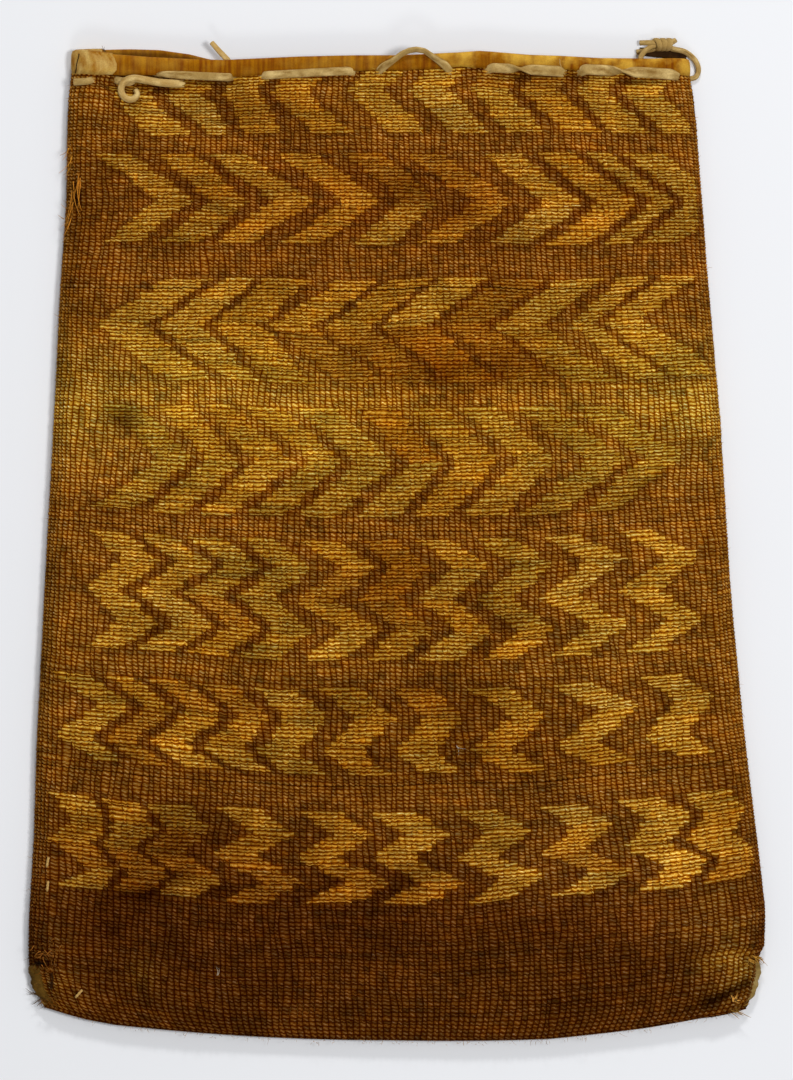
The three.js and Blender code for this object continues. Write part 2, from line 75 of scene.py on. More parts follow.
FIBRE_STEPS = 6
FIBRE_SIDES = 3
FIBRE_UP = (0.13, 0.31, 0.94)
ROUND = 2.0
MIX_INPUTS = (0, 6, 7)
MIX_OUTPUT = 2
NOISE_EDGES = (0.3, 0.7)
THONG_STREAKS = (0.12, 5.0, 1.0)

Array = np.ndarray
Numbers = tuple[float, ...]
Pair = tuple[float, float]
Triple = tuple[float, float, float]
Table = tuple[Pair, ...]
Material = bpy.types.Material
Socket = bpy.types.NodeSocket


# Small maths


def smoothstep(x: Array, low: float, high: float) -> Array:
    """Return the smooth rise from 0 at low to 1 at high, 3t^2 - 2t^3 with t held from 0 to 1."""
    t = np.clip((x - low) / (high - low), 0.0, 1.0)
    return t * t * (3.0 - 2.0 * t)


def mix(a: Array, b: Array, share: Array) -> Array:
    """Return the straight mix a + share (b - a)."""
    return a + (b - a) * share


def hump(x: Array, centre: float, reach: float) -> Array:
    """Return a soft hump, exp(-((x - centre) / reach)^2)."""
    return np.exp(-(((x - centre) / reach) ** 2))


def unit(vectors: Array) -> Array:
    """Return the vectors with their length made 1."""
    return vectors / np.maximum(np.linalg.norm(vectors, axis=-1, keepdims=True), 1e-12)


def looked_up(table: Table, x: Array) -> Array:
    """Return a table's value at each place, by straight lines between its rows."""
    rows = np.array(table)
    return np.interp(x, rows[:, 0], rows[:, 1])


def run_lengths(line: Array) -> Array:
    """Return how far along a line each of its points is."""
    return np.concatenate([[0.0], np.cumsum(np.linalg.norm(np.diff(line, axis=0), axis=1))])


def ripple(x: Array, y: Array, wave: Pair, number: int) -> Array:
    """Soft unevenness over a plane: five sine waves in seeded directions, summed.

    Args:
        x: places in X, in millimetres.
        y: places in Y, in millimetres.
        wave: usual height of the crests, and the mean distance between them.
        number: picks the directions and phases.

    Returns:
        The height at each place.
    """
    height, wavelength = wave
    rng = np.random.default_rng(SEED + number)
    turns = rng.uniform(0.0, 2.0 * np.pi, RIPPLE_WAVES)
    phases = rng.uniform(0.0, 2.0 * np.pi, RIPPLE_WAVES)
    steps = 2.0 * np.pi / (wavelength * rng.uniform(*RIPPLE_LENGTHS, RIPPLE_WAVES))
    waves = [
        np.sin(step * (np.cos(turn) * x + np.sin(turn) * y) + phase)
        for turn, phase, step in zip(turns, phases, steps)
    ]
    return height * np.sum(waves, axis=0) / RIPPLE_REACH


def soft_noise(rng: np.random.Generator, shape: tuple[int, int], axis: int, passes: int) -> Array:
    """Random numbers smoothed along one axis by repeated 1-2-1 means.

    Args:
        rng: gives the numbers.
        shape: rows and columns.
        axis: direction of the smoothing, in which the array closes on itself.
        passes: how many means are taken.

    Returns:
        Smooth noise with a spread of 1.
    """
    noise = rng.normal(0.0, 1.0, shape)
    for _ in range(passes):
        noise = 0.25 * np.roll(noise, 1, axis) + 0.5 * noise + 0.25 * np.roll(noise, -1, axis)
    return noise / noise.std()


def spread(field_values: Array, passes: int) -> Array:
    """Smooth a field by repeated means of each place and its four neighbours.

    Args:
        field_values: the field, which closes on itself in both directions.
        passes: how many means are taken.

    Returns:
        The smoothed field.
    """
    for _ in range(passes):
        sides = [np.roll(field_values, step, axis) for axis in (0, 1) for step in (-1, 1)]
        field_values = (field_values + sum(sides)) / 5.0
    return field_values


def linear(colour: Numbers) -> Array:
    """Turn a colour in 8-bit screen values into linear light."""
    share = np.asarray(colour, float) / 255.0
    return np.where(share <= 0.04045, share / 12.92, ((share + 0.055) / 1.055) ** 2.4)


def respaced(line: Array, step: float) -> Array:
    """Space points evenly along a line, by straight lines between its own.

    Args:
        line: the line's points.
        step: about how far apart the new points are.

    Returns:
        The new points.
    """
    run = run_lengths(line)
    count = max(2, int(round(run[-1] / step)) + 1)
    places = np.linspace(0.0, run[-1], count)
    return np.stack([np.interp(places, run, line[:, axis]) for axis in range(line.shape[1])], axis=1)


def row_share(row: Array) -> Array:
    """Return the share of the wall that lies above a row; rows are a little wider towards the base."""
    share = row / ROWS
    return share - ROW_EASE * share * (1.0 - share)


def smooth_route(points: Array, step: float) -> Array:
    """Carry a centripetal Catmull-Rom curve through given points, by mixes of mixes of the points.

    Args:
        points: the points, one row each.
        step: distance between the points returned.

    Returns:
        Points along the curve, evenly spaced.
    """
    stops = np.asarray(points, float)
    stops = np.vstack([2 * stops[0] - stops[1], stops, 2 * stops[-1] - stops[-2]])
    knots = np.concatenate([[0.0], np.cumsum(np.linalg.norm(np.diff(stops, axis=0), axis=1) ** 0.5)])
    fine = np.linspace(knots[1], knots[-2], ROUTE_FINENESS * len(points))
    k = np.clip(np.searchsorted(knots, fine, side="right") - 1, 1, len(stops) - 3)
    t0, t1, t2, t3 = (knots[k + i][:, None] for i in (-1, 0, 1, 2))
    p0, p1, p2, p3 = (stops[k + i] for i in (-1, 0, 1, 2))
    t = fine[:, None]
    a1 = mix(p0, p1, (t - t0) / (t1 - t0))
    a2 = mix(p1, p2, (t - t1) / (t2 - t1))
    a3 = mix(p2, p3, (t - t2) / (t3 - t2))
    b1 = mix(a1, a2, (t - t0) / (t2 - t0))
    b2 = mix(a2, a3, (t - t1) / (t3 - t1))
    return respaced(mix(b1, b2, (t - t1) / (t2 - t1)), step)


# Meshes


@dataclass
class Surface:
    """Points and faces of a mesh in the making, with what its finish reads."""

    points: Array
    quads: Array
    triangles: Array = field(default_factory=lambda: np.zeros((0, 3), int))
    uv: Array | None = None
    colours: Array | None = None
    # Each point's share of light, which the twined finish reads: painted shade with some dirt.
    light: Array | None = None
    flat: Array | None = None

    @property
    def triangle_count(self) -> int:
        """Triangles that the surface comes to."""
        return 2 * len(self.quads) + len(self.triangles)

    def mesh(self, name: str) -> bpy.types.Mesh:
        """Put the arrays into a Blender mesh, quads first and triangles after them.

        Args:
            name: the mesh's name.

        Returns:
            The mesh, in metres.
        """
        corners = np.concatenate([self.quads.ravel(), self.triangles.ravel()])
        square = 4 * np.arange(len(self.quads))
        pointed = 4 * len(self.quads) + 3 * np.arange(len(self.triangles))
        starts = np.concatenate([square, pointed])
        mesh = bpy.data.meshes.new(name)
        mesh.vertices.add(len(self.points))
        mesh.vertices.foreach_set("co", (self.points * MM).astype(np.float32).ravel())
        mesh.loops.add(len(corners))
        mesh.loops.foreach_set("vertex_index", corners.astype(np.int32))
        mesh.polygons.add(len(starts))
        mesh.polygons.foreach_set("loop_start", starts.astype(np.int32))
        mesh.update(calc_edges=True)
        mesh.shade_smooth()
        if self.flat is not None:
            mesh.polygons.foreach_set("use_smooth", ~self.flat)
        if self.uv is not None:
            layer = mesh.uv_layers.new(name="lay")
            layer.data.foreach_set("uv", self.uv.astype(np.float32).ravel())
        if self.colours is not None:
            dye = mesh.attributes.new("dye", "FLOAT_COLOR", "POINT")
            shades = np.column_stack([self.colours, np.ones(len(self.colours))])
            dye.data.foreach_set("color", shades.astype(np.float32).ravel())
        # The share of light is painted shade with some dirt, for the twined finish.
        if self.light is not None:
            light = mesh.attributes.new("light", "FLOAT", "POINT")
            light.data.foreach_set("value", self.light.astype(np.float32))
        return mesh


def joined(surfaces: list[Surface]) -> Surface:
    """Put several surfaces that hold the same kinds of data into one, without merging their points.

    Args:
        surfaces: the surfaces.

    Returns:
        One surface.
    """
    starts = np.concatenate([[0], np.cumsum([len(s.points) for s in surfaces])[:-1]])
    quads = np.concatenate([s.quads + start for s, start in zip(surfaces, starts)])
    triangles = np.concatenate([s.triangles + start for s, start in zip(surfaces, starts)])
    points = np.concatenate([s.points for s in surfaces])
    uv = colours = None
    if surfaces[0].uv is not None:
        square = [s.uv[: 4 * len(s.quads)] for s in surfaces]
        pointed = [s.uv[4 * len(s.quads):] for s in surfaces]
        uv = np.concatenate(square + pointed)
    if surfaces[0].colours is not None:
        colours = np.concatenate([s.colours for s in surfaces])
    return Surface(points, quads, triangles, uv, colours)


def place_piece(
    surface: Surface,
    name: str,
    material: Material,
    replaces: tuple[str, ...] = (),
) -> bpy.types.Object:
    """Make a piece of the bag, dress it, and let it ride on the part.

    Args:
        surface: its shape.
        name: its name.
        material: its finish.
        replaces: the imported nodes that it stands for.

    Returns:
        The new object.
    """
    piece = bpy.data.objects.new(name, surface.mesh(name))
    bpy.context.scene.collection.objects.link(piece)
    piece.data.materials.append(material)
    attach(piece, BODY)
    if replaces:
        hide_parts(*replaces)
    LOG.info("%s: %d triangles", name, surface.triangle_count)
    return piece


def loop_grid(loops: Array, run: Array, ring: bool = False) -> Surface:
    """Join closed loops of points, one after another, by quads.

    Seen from outside, a loop's points run anticlockwise round the direction in which the loops follow
    each other.

    Args:
        loops: points, by loop and by place in the loop.
        run: U of each loop, with one more at the end where the loops close into a ring.
        ring: whether the last loop joins the first.

    Returns:
        The surface, with V from 0 to 1 round each loop.
    """
    count, points = loops.shape[:2]
    i, j = np.meshgrid(np.arange(count if ring else count - 1), np.arange(points), indexing="ij")
    after, beside = (i + 1) % count, (j + 1) % points
    quads = np.stack(
        [i * points + j, after * points + j, after * points + beside, i * points + beside], -1
    ).reshape(-1, 4)
    u = np.stack([run[i], run[i + 1], run[i + 1], run[i]], -1).ravel()
    v = np.stack([j, j, j + 1, j + 1], -1).ravel() / points
    return Surface(loops.reshape(-1, 3), quads, uv=np.column_stack([u, v]))


def with_fan_ends(surface: Surface, loops: Array, middles: Array, run: Array) -> Surface:
    """Close the two ends of a run of loops by fans round a middle point.

    Args:
        surface: the open surface of the loops.
        loops: its points, by loop and by place in the loop.
        middles: the two middle points.
        run: U of each loop.

    Returns:
        The closed surface.
    """
    count, points = loops.shape[:2]
    j = np.arange(points)
    beside = (j + 1) % points
    first, last = count * points, count * points + 1
    base = (count - 1) * points
    start_fan = np.stack([np.full(points, first), j, beside], -1)
    end_fan = np.stack([np.full(points, last), base + beside, base + j], -1)
    fan_u = np.repeat([run[0], run[count - 1]], 3 * points)
    fan_uv = np.column_stack([fan_u, np.zeros(6 * points)])
    return Surface(
        np.concatenate([surface.points, middles]),
        surface.quads,
        np.concatenate([start_fan, end_fan]),
        np.concatenate([surface.uv, fan_uv]),
    )


def with_leaf_ends(surface: Surface, loops: Array, run: Array) -> Surface:
    """Close the two ends of a folded strip, whose loops go along one face and back along the other.

    Args:
        surface: the open surface of the loops.
        loops: its points, by loop and by place in the loop.
        run: U of each loop.

    Returns:
        The closed surface.
    """
    count, points = loops.shape[:2]
    k = np.arange(points // 2 - 1)
    start = np.stack([k, k + 1, points - 2 - k, points - 1 - k], -1)
    end = start[:, ::-1] + (count - 1) * points
    end_u = np.repeat([run[0], run[count - 1]], 4 * len(k))
    quads = np.concatenate([surface.quads, start, end])
    uv = np.concatenate([surface.uv, np.column_stack([end_u, np.zeros(8 * len(k))])])
    return Surface(surface.points, quads, uv=uv)


def strap_section(points: int, squareness: float) -> Array:
    """Make a strap's section, a rounded box |x|^n + |y|^n = 1 with n the squareness.

    Args:
        points: points round the section.
        squareness: the power n, 2 for an oval and more for a box.

    Returns:
        X and Y of each point.
    """
    turn = 2.0 * np.pi * np.arange(points) / points
    x = np.sign(np.cos(turn)) * np.abs(np.cos(turn)) ** (2.0 / squareness)
    y = np.sign(np.sin(turn)) * np.abs(np.sin(turn)) ** (2.0 / squareness)
    return np.stack([x, y], -1)


def strap(
    path: Array,
    facing: Array,
    width: Array | float,
    depth: Array | float,
    points: int = 12,
    squareness: float = 2.6,
) -> Surface:
    """Carry a strap's section along a path.

    Each loop is path + width * x * side + depth * y * normal, where side is the path's direction crossed
    with the way that the flat face looks.

    Args:
        path: the centreline.
        facing: which way the flat face looks at each point.
        width: half width, one for all points or one for each.
        depth: half thickness, one for all points or one for each.
        points: points in the section.
        squareness: power of the section's rounded box.

    Returns:
        A closed surface, with U along the path in millimetres and V round the section.
    """
    width = np.broadcast_to(width, len(path))
    depth = np.broadcast_to(depth, len(path))
    along = unit(np.gradient(path, axis=0))
    side = unit(np.cross(along, facing))
    normal = np.cross(side, along)
    section = strap_section(points, squareness)
    reach = section[None, :, 0, None] * (width[:, None] * side)[:, None, :]
    rise = section[None, :, 1, None] * (depth[:, None] * normal)[:, None, :]
    loops = path[:, None, :] + reach + rise
    run = run_lengths(path)
    bulge = CAP_BULGE * depth[:, None] * along
    middles = np.stack([path[0] - bulge[0], path[-1] + bulge[-1]])
    return with_fan_ends(loop_grid(loops, run), loops, middles, run)


def rolled(path: Array, degrees: Array | float = 0.0) -> Array:
    """Work out which way a strap's flat face looks when it is rolled about its path from facing up.

    It looks along cos(roll) n + sin(roll) s, with s level and across the path and n upright to both.

    Args:
        path: the centreline.
        degrees: the roll, one for all points or one for each.

    Returns:
        A direction for each point.
    """
    along = unit(np.gradient(path, axis=0))
    up = np.broadcast_to([0.0, 0.0, 1.0], path.shape)
    side = unit(np.cross(along, up))
    angle = np.radians(np.broadcast_to(degrees, len(path)))[:, None]
    return np.cos(angle) * np.cross(side, along) + np.sin(angle) * side


# The bag's form


@dataclass(frozen=True)
class BagForm:
    """The bag's outline and section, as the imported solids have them, with uneven hand-made edges."""

    base_y: float
    bag_height: float
    base_width: float
    thickness: float
    mouth_width: float = 374.0
    mouth_shift: float = -9.0
    mouth_arch: float = 2.4
    base_sag: float = 14.4
    full_width_at: float = 0.9
    right_waist: float = 3.0
    corner_inset: float = 14.0
    corner_rise: float = 34.0
    front_shoulder: float = 12.0
    back_shoulder: float = 9.0
    mouth_taper: float = 60.0
    mouth_dip: float = 2.0
    mouth_lift: float = 2.2
    base_taper: float = 46.0
    base_dip: float = 9.0
    base_lift: float = 1.5
    binding_depth: float = 9.0
    wall: float = 2.6
    husk_relief: float = 1.1
    edge_reach: float = 70.0
    sags: Table = (
        (0, -2.4), (0.1, -0.5), (0.2, 1.2), (0.3, 3.0), (0.4, 5.4), (0.5, 8.4), (0.6, 11.6),
        (0.7, 14.6), (0.8, 15.8), (0.9, 15.5), (1, 14.4),
    )
    tilts: Table = ((0, 0), (0.6, 0), (0.7, 0.8), (0.8, 2.6), (0.9, 2.2), (1, 0))
    left_sway: Table = (
        (-300, -0.6), (-242, -0.8), (-180, 0), (-120, -0.9), (-60, -0.6), (0, -0.2), (50, 0.3),
        (90, 0.5), (150, 0.6), (200, 1.8), (238, 0.6), (262, 0.4), (276, 1.6), (290, 2.7), (300, 2.9),
    )
    right_sway: Table = (
        (-300, 0), (-262, -0.8), (-252, -1.6), (-246, 1.4), (-218, 2.2), (-170, 1.2), (-120, 0.2),
        (-30, 0), (20, 1.2), (70, 2.2), (120, 1.5), (180, 0.6), (250, 0), (268, -0.8), (282, -2.4),
        (300, -2.9),
    )
    base_line: Table = (
        (-220, 4.0), (-209, 2.6), (-198, 0.6), (-186, -1.2), (-170, -2.4), (-87, -2.6), (0, -2.6),
        (92, -4.6), (150, -2.6), (182, -0.4), (200, 0.2), (212, 2.0), (220, 3.0),
    )

    @classmethod
    def from_frame(cls) -> "BagForm":
        """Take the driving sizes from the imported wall.

        Returns:
            The form, with its base, height, width and thickness as packed.
        """
        low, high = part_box("twined_bag")
        thickness = high.z / MM - cls.husk_relief
        return cls(low.y / MM, (high.y - low.y) / MM, (high.x - low.x) / MM, thickness)

    @property
    def mouth_y(self) -> float:
        """Y of the mouth edge at the sides."""
        return self.base_y + self.bag_height - self.mouth_arch

    @property
    def side_length(self) -> float:
        """Length of the side edges."""
        return self.bag_height - self.mouth_arch - self.base_sag

    @property
    def binding_v(self) -> float:
        """Share of the side edges that the binding covers."""
        return self.binding_depth / self.side_length

    def side_edges(self, v: Array) -> tuple[Array, Array]:
        """X of the left and right edge.

        Each edge runs straight from the mouth width to the base width. The right one is drawn in at its
        waist, and both round in at the base corners by inset (1 - sqrt(1 - q^2)).

        Args:
            v: share of the side edges, 0 at the mouth and 1 at the base.

        Returns:
            The left and the right X.
        """
        widening = np.clip(v / self.full_width_at, 0.0, 1.0)
        q = np.clip(1.0 - (1.0 - v) * self.side_length / self.corner_rise, 0.0, 1.0)
        corner = self.corner_inset * (1.0 - np.sqrt(1.0 - q**2))
        half_mouth, half_base = self.mouth_width / 2.0, self.base_width / 2.0
        left = mix(self.mouth_shift - half_mouth, -half_base, widening) + corner
        waist = self.right_waist * np.sin(np.pi * widening)
        right = mix(self.mouth_shift + half_mouth, half_base, widening) - waist - corner
        return left, right

    def row_y(self, v: Array, x: Array) -> Array:
        """Y of a twined row, bowed between its ends by sag (1 - across^2) and tilted by tilt across.

        Args:
            v: share of the side edges.
            x: X of each place.

        Returns:
            Y of each place.
        """
        left, right = self.side_edges(v)
        across = np.clip((2.0 * x - left - right) / (right - left), -1.0, 1.0)
        bowed = looked_up(self.sags, v) * (1.0 - across**2)
        return self.mouth_y - v * self.side_length - bowed + looked_up(self.tilts, v) * across

    def v_at(self, x: Array, y: Array) -> Array:
        """Find the v whose row passes through a place on the front, by repeated steps.

        Args:
            x: X of each place.
            y: Y of each place.

        Returns:
            The share of the side edges.
        """
        v = (self.mouth_y - np.asarray(y, float)) / self.side_length
        for _ in range(SETTLING_STEPS):
            v = v + (self.row_y(v, x) - y) / self.side_length
        return v

    def mouth_share(self, v: Array) -> Array:
        """Return how much of the mouth's taper holds, 1 at the mouth edge."""
        return 1.0 - smoothstep(v * self.side_length, 0.0, self.mouth_taper)

    def front_z(self, v: Array) -> Array:
        """Z of the front, dipping smoothly to the mouth and to the base."""
        base = 1.0 - smoothstep((1.0 - v) * self.side_length, 0.0, self.base_taper)
        return self.thickness - self.mouth_dip * self.mouth_share(v) - self.base_dip * base

    def back_z(self, v: Array) -> Array:
        """Z of the back, lifting smoothly to the mouth and to the base."""
        base = 1.0 - smoothstep((1.0 - v) * self.side_length, 0.0, self.base_taper)
        return self.mouth_lift * self.mouth_share(v) + self.base_lift * base


@dataclass(frozen=True)
class RimLine:
    """How far the soft mouth edge dips or rises from its even arch, on the front and on the back."""

    front: Table = (
        (-197, 2.4), (-186, 1.8), (-178, 0.9), (-171, -0.2), (-148, -2.5), (-118, -4.5), (-103, -5.0),
        (-88, -4.5), (-58, -3.4), (-25, -2.8), (2, -2.8), (38, -0.9), (50, 0.1), (57, -0.3), (80, -2.0),
        (98, -2.3), (122, -3.3), (152, -3.0), (174, -2.0), (180, -1.8),
    )
    back: Table = (
        (-197, 3.0), (-186, 3.2), (-160, 3.2), (-142, 2.3), (-124, -0.6), (-115, -3.0), (-103, -5.8),
        (-58, -4.4), (2, -3.8), (38, -2.2), (57, -1.6), (80, -3.0), (122, -4.2), (152, -3.6),
        (174, -2.2), (180, -1.8),
    )

    def shift(self, x: Array, height: Array) -> Array:
        """Return the shift in Y, mixed from back to front by the share of the height."""
        return mix(looked_up(self.back, x), looked_up(self.front, x), height)


@dataclass(frozen=True)
class Section:
    """The ring of columns round the bag: along the front, round the right, the back and the left."""

    form: BagForm
    rim: RimLine = RimLine()
    front_columns: int = 110
    side_columns: int = 9
    chart_front: float = 105.0
    fold_bulge: float = 2.5
    overlap: int = 3
    side_steer: Table = ((3.0, 0.92), (-8.5, 0.1))

    @property
    def columns(self) -> int:
        """Columns in the whole ring."""
        return 2 * (self.front_columns + self.side_columns)

    @property
    def first_warp(self) -> float:
        """Warp of the chart at which the flat front starts."""
        return (CHART_WARPS - self.chart_front) / 2.0

    def side_curve(self, t: Array) -> tuple[Array, Array, Array, Array]:
        """The bag's side, a cubic Bezier curve from the front's edge to the back's.

        Args:
            t: share of the curve's length, from the front.

        Returns:
            Inset from the edge, share of the height, and the normal's parts along the inset and upwards.
        """
        form = self.form
        steer = np.array([(form.front_shoulder, 1.0), *self.side_steer, (form.back_shoulder, 0.0)])
        fine = np.linspace(0.0, 1.0, CURVE_POINTS)[:, None]
        weights = [(1 - fine) ** 3, 3 * (1 - fine) ** 2 * fine, 3 * (1 - fine) * fine**2, fine**3]
        curve = sum(weight * point for weight, point in zip(weights, steer))
        scaled = curve * np.array([1.0, form.thickness])
        run = run_lengths(scaled)
        heading = unit(np.gradient(scaled, axis=0))
        tables = (curve[:, 0], curve[:, 1], heading[:, 1], -heading[:, 0])
        return tuple(np.interp(t * run[-1], run, table) for table in tables)

    def place(self, s: Array, v: Array | float, fold: Array | float) -> tuple[Array, Array]:
        """Places and outward normals on the bag's smooth surface.

        X is a mix of the left and right edge with an inset, Y follows the row, and Z is a mix of back and
        front. The fold turns the last rows round the base until front and back meet on one line.

        Args:
            s: column, counted round the ring from the front's left edge.
            v: share of the side edges.
            fold: turn round the base, 0 on the wall and 1 where front and back meet.

        Returns:
            Points and normals.
        """
        form, front, side = self.form, self.front_columns, self.side_columns
        s, v, fold = np.broadcast_arrays(np.mod(s, self.columns), v, fold)
        on_front = s <= front
        on_back = (s >= front + side) & (s <= 2 * front + side)
        on_side = ~(on_front | on_back)
        on_left = s > 1.5 * front + side
        t = np.clip(np.where(on_left, self.columns - s, s - front) / side, 0.0, 1.0)
        inset, height, out_x, out_z = self.side_curve(t)
        left, right = form.side_edges(v)
        meeting = 0.5 * (form.front_shoulder + form.back_shoulder)
        shoulder = mix(np.where(on_front, form.front_shoulder, form.back_shoulder), meeting, fold**2)
        inset = mix(inset, meeting * np.abs(1.0 - 2.0 * t), fold**2)
        flat_share = np.where(on_front, s / front, 1.0 - (s - front - side) / front)
        flat_x = mix(left + shoulder, right - shoulder, flat_share)
        side_x = np.where(on_left, left + inset, right - inset)
        x = np.where(on_side, side_x, flat_x)
        height = np.where(on_front, 1.0, np.where(on_back, 0.0, height))
        angle = 0.5 * np.pi * fold
        z = mix(form.back_z(v), form.front_z(v), 0.5 + (height - 0.5) * np.cos(angle))
        y = form.row_y(v, x) - self.fold_bulge * np.sin(angle)
        near_left = 1.0 - smoothstep(x - left, 0.0, form.edge_reach)
        near_right = 1.0 - smoothstep(right - x, 0.0, form.edge_reach)
        x = x + near_left * looked_up(form.left_sway, y) + near_right * looked_up(form.right_sway, y)
        near_base = 1.0 - smoothstep((1.0 - v) * form.side_length, 0.0, form.base_taper)
        y = y + self.rim.shift(x, height) * form.mouth_share(v)
        y = y + looked_up(form.base_line, x) * near_base
        normal_x = np.where(on_side, np.where(on_left, out_x, -out_x), 0.0)
        normal_z = np.where(on_side, out_z, np.where(on_front, 1.0, -1.0))
        normals = np.stack([normal_x * np.cos(angle), -np.sin(angle), normal_z * np.cos(angle)], -1)
        return np.stack([x, y, z], -1), unit(normals)


# The weave's chart


class Dye(Enum):
    """Colours of the husk, by the letter that the chart uses."""

    GOLD = "g"
    PALE = "p"
    OCHRE = "o"
    OLIVE = "v"
    RUST = "r"
    BROWN = "b"


DYE_COLOURS = {
    Dye.GOLD: (216, 180, 81),
    Dye.PALE: (218, 187, 94),
    Dye.OCHRE: (212, 170, 69),
    Dye.OLIVE: (199, 167, 75),
    Dye.RUST: (203, 151, 55),
    Dye.BROWN: (187, 144, 58),
}


@dataclass(frozen=True)
class HuskBand:
    """One band of husk zigzags, as a weaver's chart has it.

    The band turns at its levels, counted in rows from the binding. Its figures stand at the even warps on
    the first, third and fifth level and at the odd warps between, and each stretch between levels has its
    dyes. Where there are shifts, each moves the figures of its level along. Limits stop the last figure,
    by level.
    """

    levels: Numbers
    even: Numbers
    odd: Numbers
    width: float
    dyes: tuple[str, ...]
    raggedness: float = 0.14
    parting: float = 2.4
    shifts: Numbers = ()
    limits: Numbers = ()

    def spans(self, rows: Array, rng: np.random.Generator) -> tuple[Array, Array]:
        """First and last warp of each figure on each row.

        Args:
            rows: row numbers, at the middle of each row.
            rng: gives the raggedness of the ends.

        Returns:
            Two arrays with a row for each twined row and a column for each figure.
        """
        turns = np.array([self.even if turn % 2 == 0 else self.odd for turn in range(len(self.levels))])
        turns = turns + np.array(self.shifts or [0.0])[:, None]
        starts = np.stack([np.interp(rows, self.levels, warps) for warps in turns.T], axis=1)
        limits = self.limits or (CHART_WARPS + self.parting,) * len(self.levels)
        following = np.column_stack([starts[:, 1:], np.interp(rows, self.levels, limits)])
        ends = np.minimum(starts + self.width, following - self.parting)
        starts = starts + rng.normal(0.0, self.raggedness, starts.shape)
        ends = ends + rng.normal(0.0, self.raggedness, ends.shape)
        outside = (rows < self.levels[0]) | (rows > self.levels[-1])
        ends[outside] = starts[outside]
        return starts, ends

    def stretch(self, rows: Array) -> Array:
        """Return which stretch between levels each row is in."""
        return np.clip(np.searchsorted(self.levels, rows, side="right") - 1, 0, len(self.levels) - 2)

    def dye_table(self) -> Array:
        """Return the dye's colour for each stretch and figure, in linear light."""
        colours = {dye.value: linear(colour) for dye, colour in DYE_COLOURS.items()}
        return np.array([[colours[letter] for letter in stretch] for stretch in self.dyes])


HUSK_BANDS = (
    HuskBand(
        levels=(-7, 4.5, 15.5),
        even=(15, 25, 31, 44, 57, 68, 78, 88, 97, 106),
        odd=(7, 17, 28, 36, 50, 61, 72, 81, 91, 99),
        width=7,
        dyes=("oogoggbbgg", "gpoogpvogg"),
    ),
    HuskBand(
        levels=(21, 33, 43.3),
        even=(7, 18, 27, 39, 51, 62, 75, 85, 94, 101),
        odd=(16.5, 26, 37, 48.6, 59, 72.2, 84, 93.6, 103, 109),
        width=6.8,
        shifts=(-1.8, 0, 0),
        dyes=("govobbgovv", "vvoovopovv"),
    ),
    HuskBand(
        levels=(52, 63.8, 77.8),
        even=(19, 29, 36.5, 49, 58, 67, 77, 87, 97.8, 105),
        odd=(7, 17.4, 26.6, 36.6, 45.6, 55.8, 66.4, 75, 88.4, 94.2),
        width=8,
        shifts=(-0.7, 0, 0),
        limits=(112, 102.4, 116),
        parting=1.7,
        dyes=("ggooogbvgg", "ggobbrbvgg"),
    ),
    HuskBand(
        levels=(84, 97.5, 110.8),
        even=(7.5, 17, 25, 32.6, 41, 51, 60, 68.6, 78, 87.8),
        odd=(18, 26, 34, 43, 51, 60, 68, 78, 90, 99),
        width=6.5,
        dyes=("vooogrogvv", "vvgvvvogvv"),
    ),
    HuskBand(
        levels=(116, 123, 131, 138.7, 146.3),
        even=(7, 15, 23, 31.5, 41.4, 51.4, 60.5, 70.6, 81.2, 93.4),
        odd=(12.4, 21.3, 30, 37.6, 48.4, 57, 66.6, 77, 88.8, 101),
        width=6.2,
        dyes=("ggvvorovpg", "ggvvbrvvpg", "gpbvobovgg", "ggovgogogg"),
    ),
    HuskBand(
        levels=(152.8, 159.6, 168, 174),
        even=(3, 11, 18, 25.8, 35, 45, 56.6, 68.4, 82, 95.8),
        odd=(9.6, 17, 24.3, 32.6, 39.6, 50.6, 61.4, 75, 88.8, 101),
        width=6.5,
        dyes=("vobbgobgpg", "vboovooogg", "vbggvogoog"),
    ),
    HuskBand(
        levels=(183, 189, 195, 201, 206.4),
        even=(2.5, 11.2, 17.5, 28.4, 41, 52.4, 65.3, 78.4, 91.2, 101),
        odd=(6.8, 13, 21, 33.6, 46.4, 57.6, 70.4, 84, 95.4, 104),
        width=6.7,
        dyes=("govgogvpgv", "ovboogvogo", "bbbbovvbgo", "vbvboovvgb"),
        parting=1.5,
        shifts=(0, 0, 0, 2.2, 1.4),
    ),
)


class Tint(Enum):
    """What a blot does to the colour under it, as factors in linear light."""

    DARK = (0.36, 0.27, 0.22)
    RUST = (1.0, 0.72, 0.5)
    PALE = (1.5, 1.62, 1.75)
    GREEN = (0.74, 0.86, 1.0)
    YELLOW = (0.94, 1.09, 1.35)
    # Painted shadow, laid in creases and gaps and under the thongs, the curl and the binding.
    SHADE = (0.1, 0.07, 0.07)
    GOLD = (1.08, 1.3, 1.2)


@dataclass(frozen=True)
class Blot:
    """A soft oval that tints the front: most are stains, and the SHADE ones are painted shadows."""

    tint: Tint
    x: float
    y: float
    reach_x: float
    reach_y: float
    strength: float

    def share(self, x: Array, y: Array) -> Array:
        """Return the blot's share at each place, its strength times a hump in X and one in Y."""
        return self.strength * hump(x, self.x, self.reach_x) * hump(y, self.y, self.reach_y)


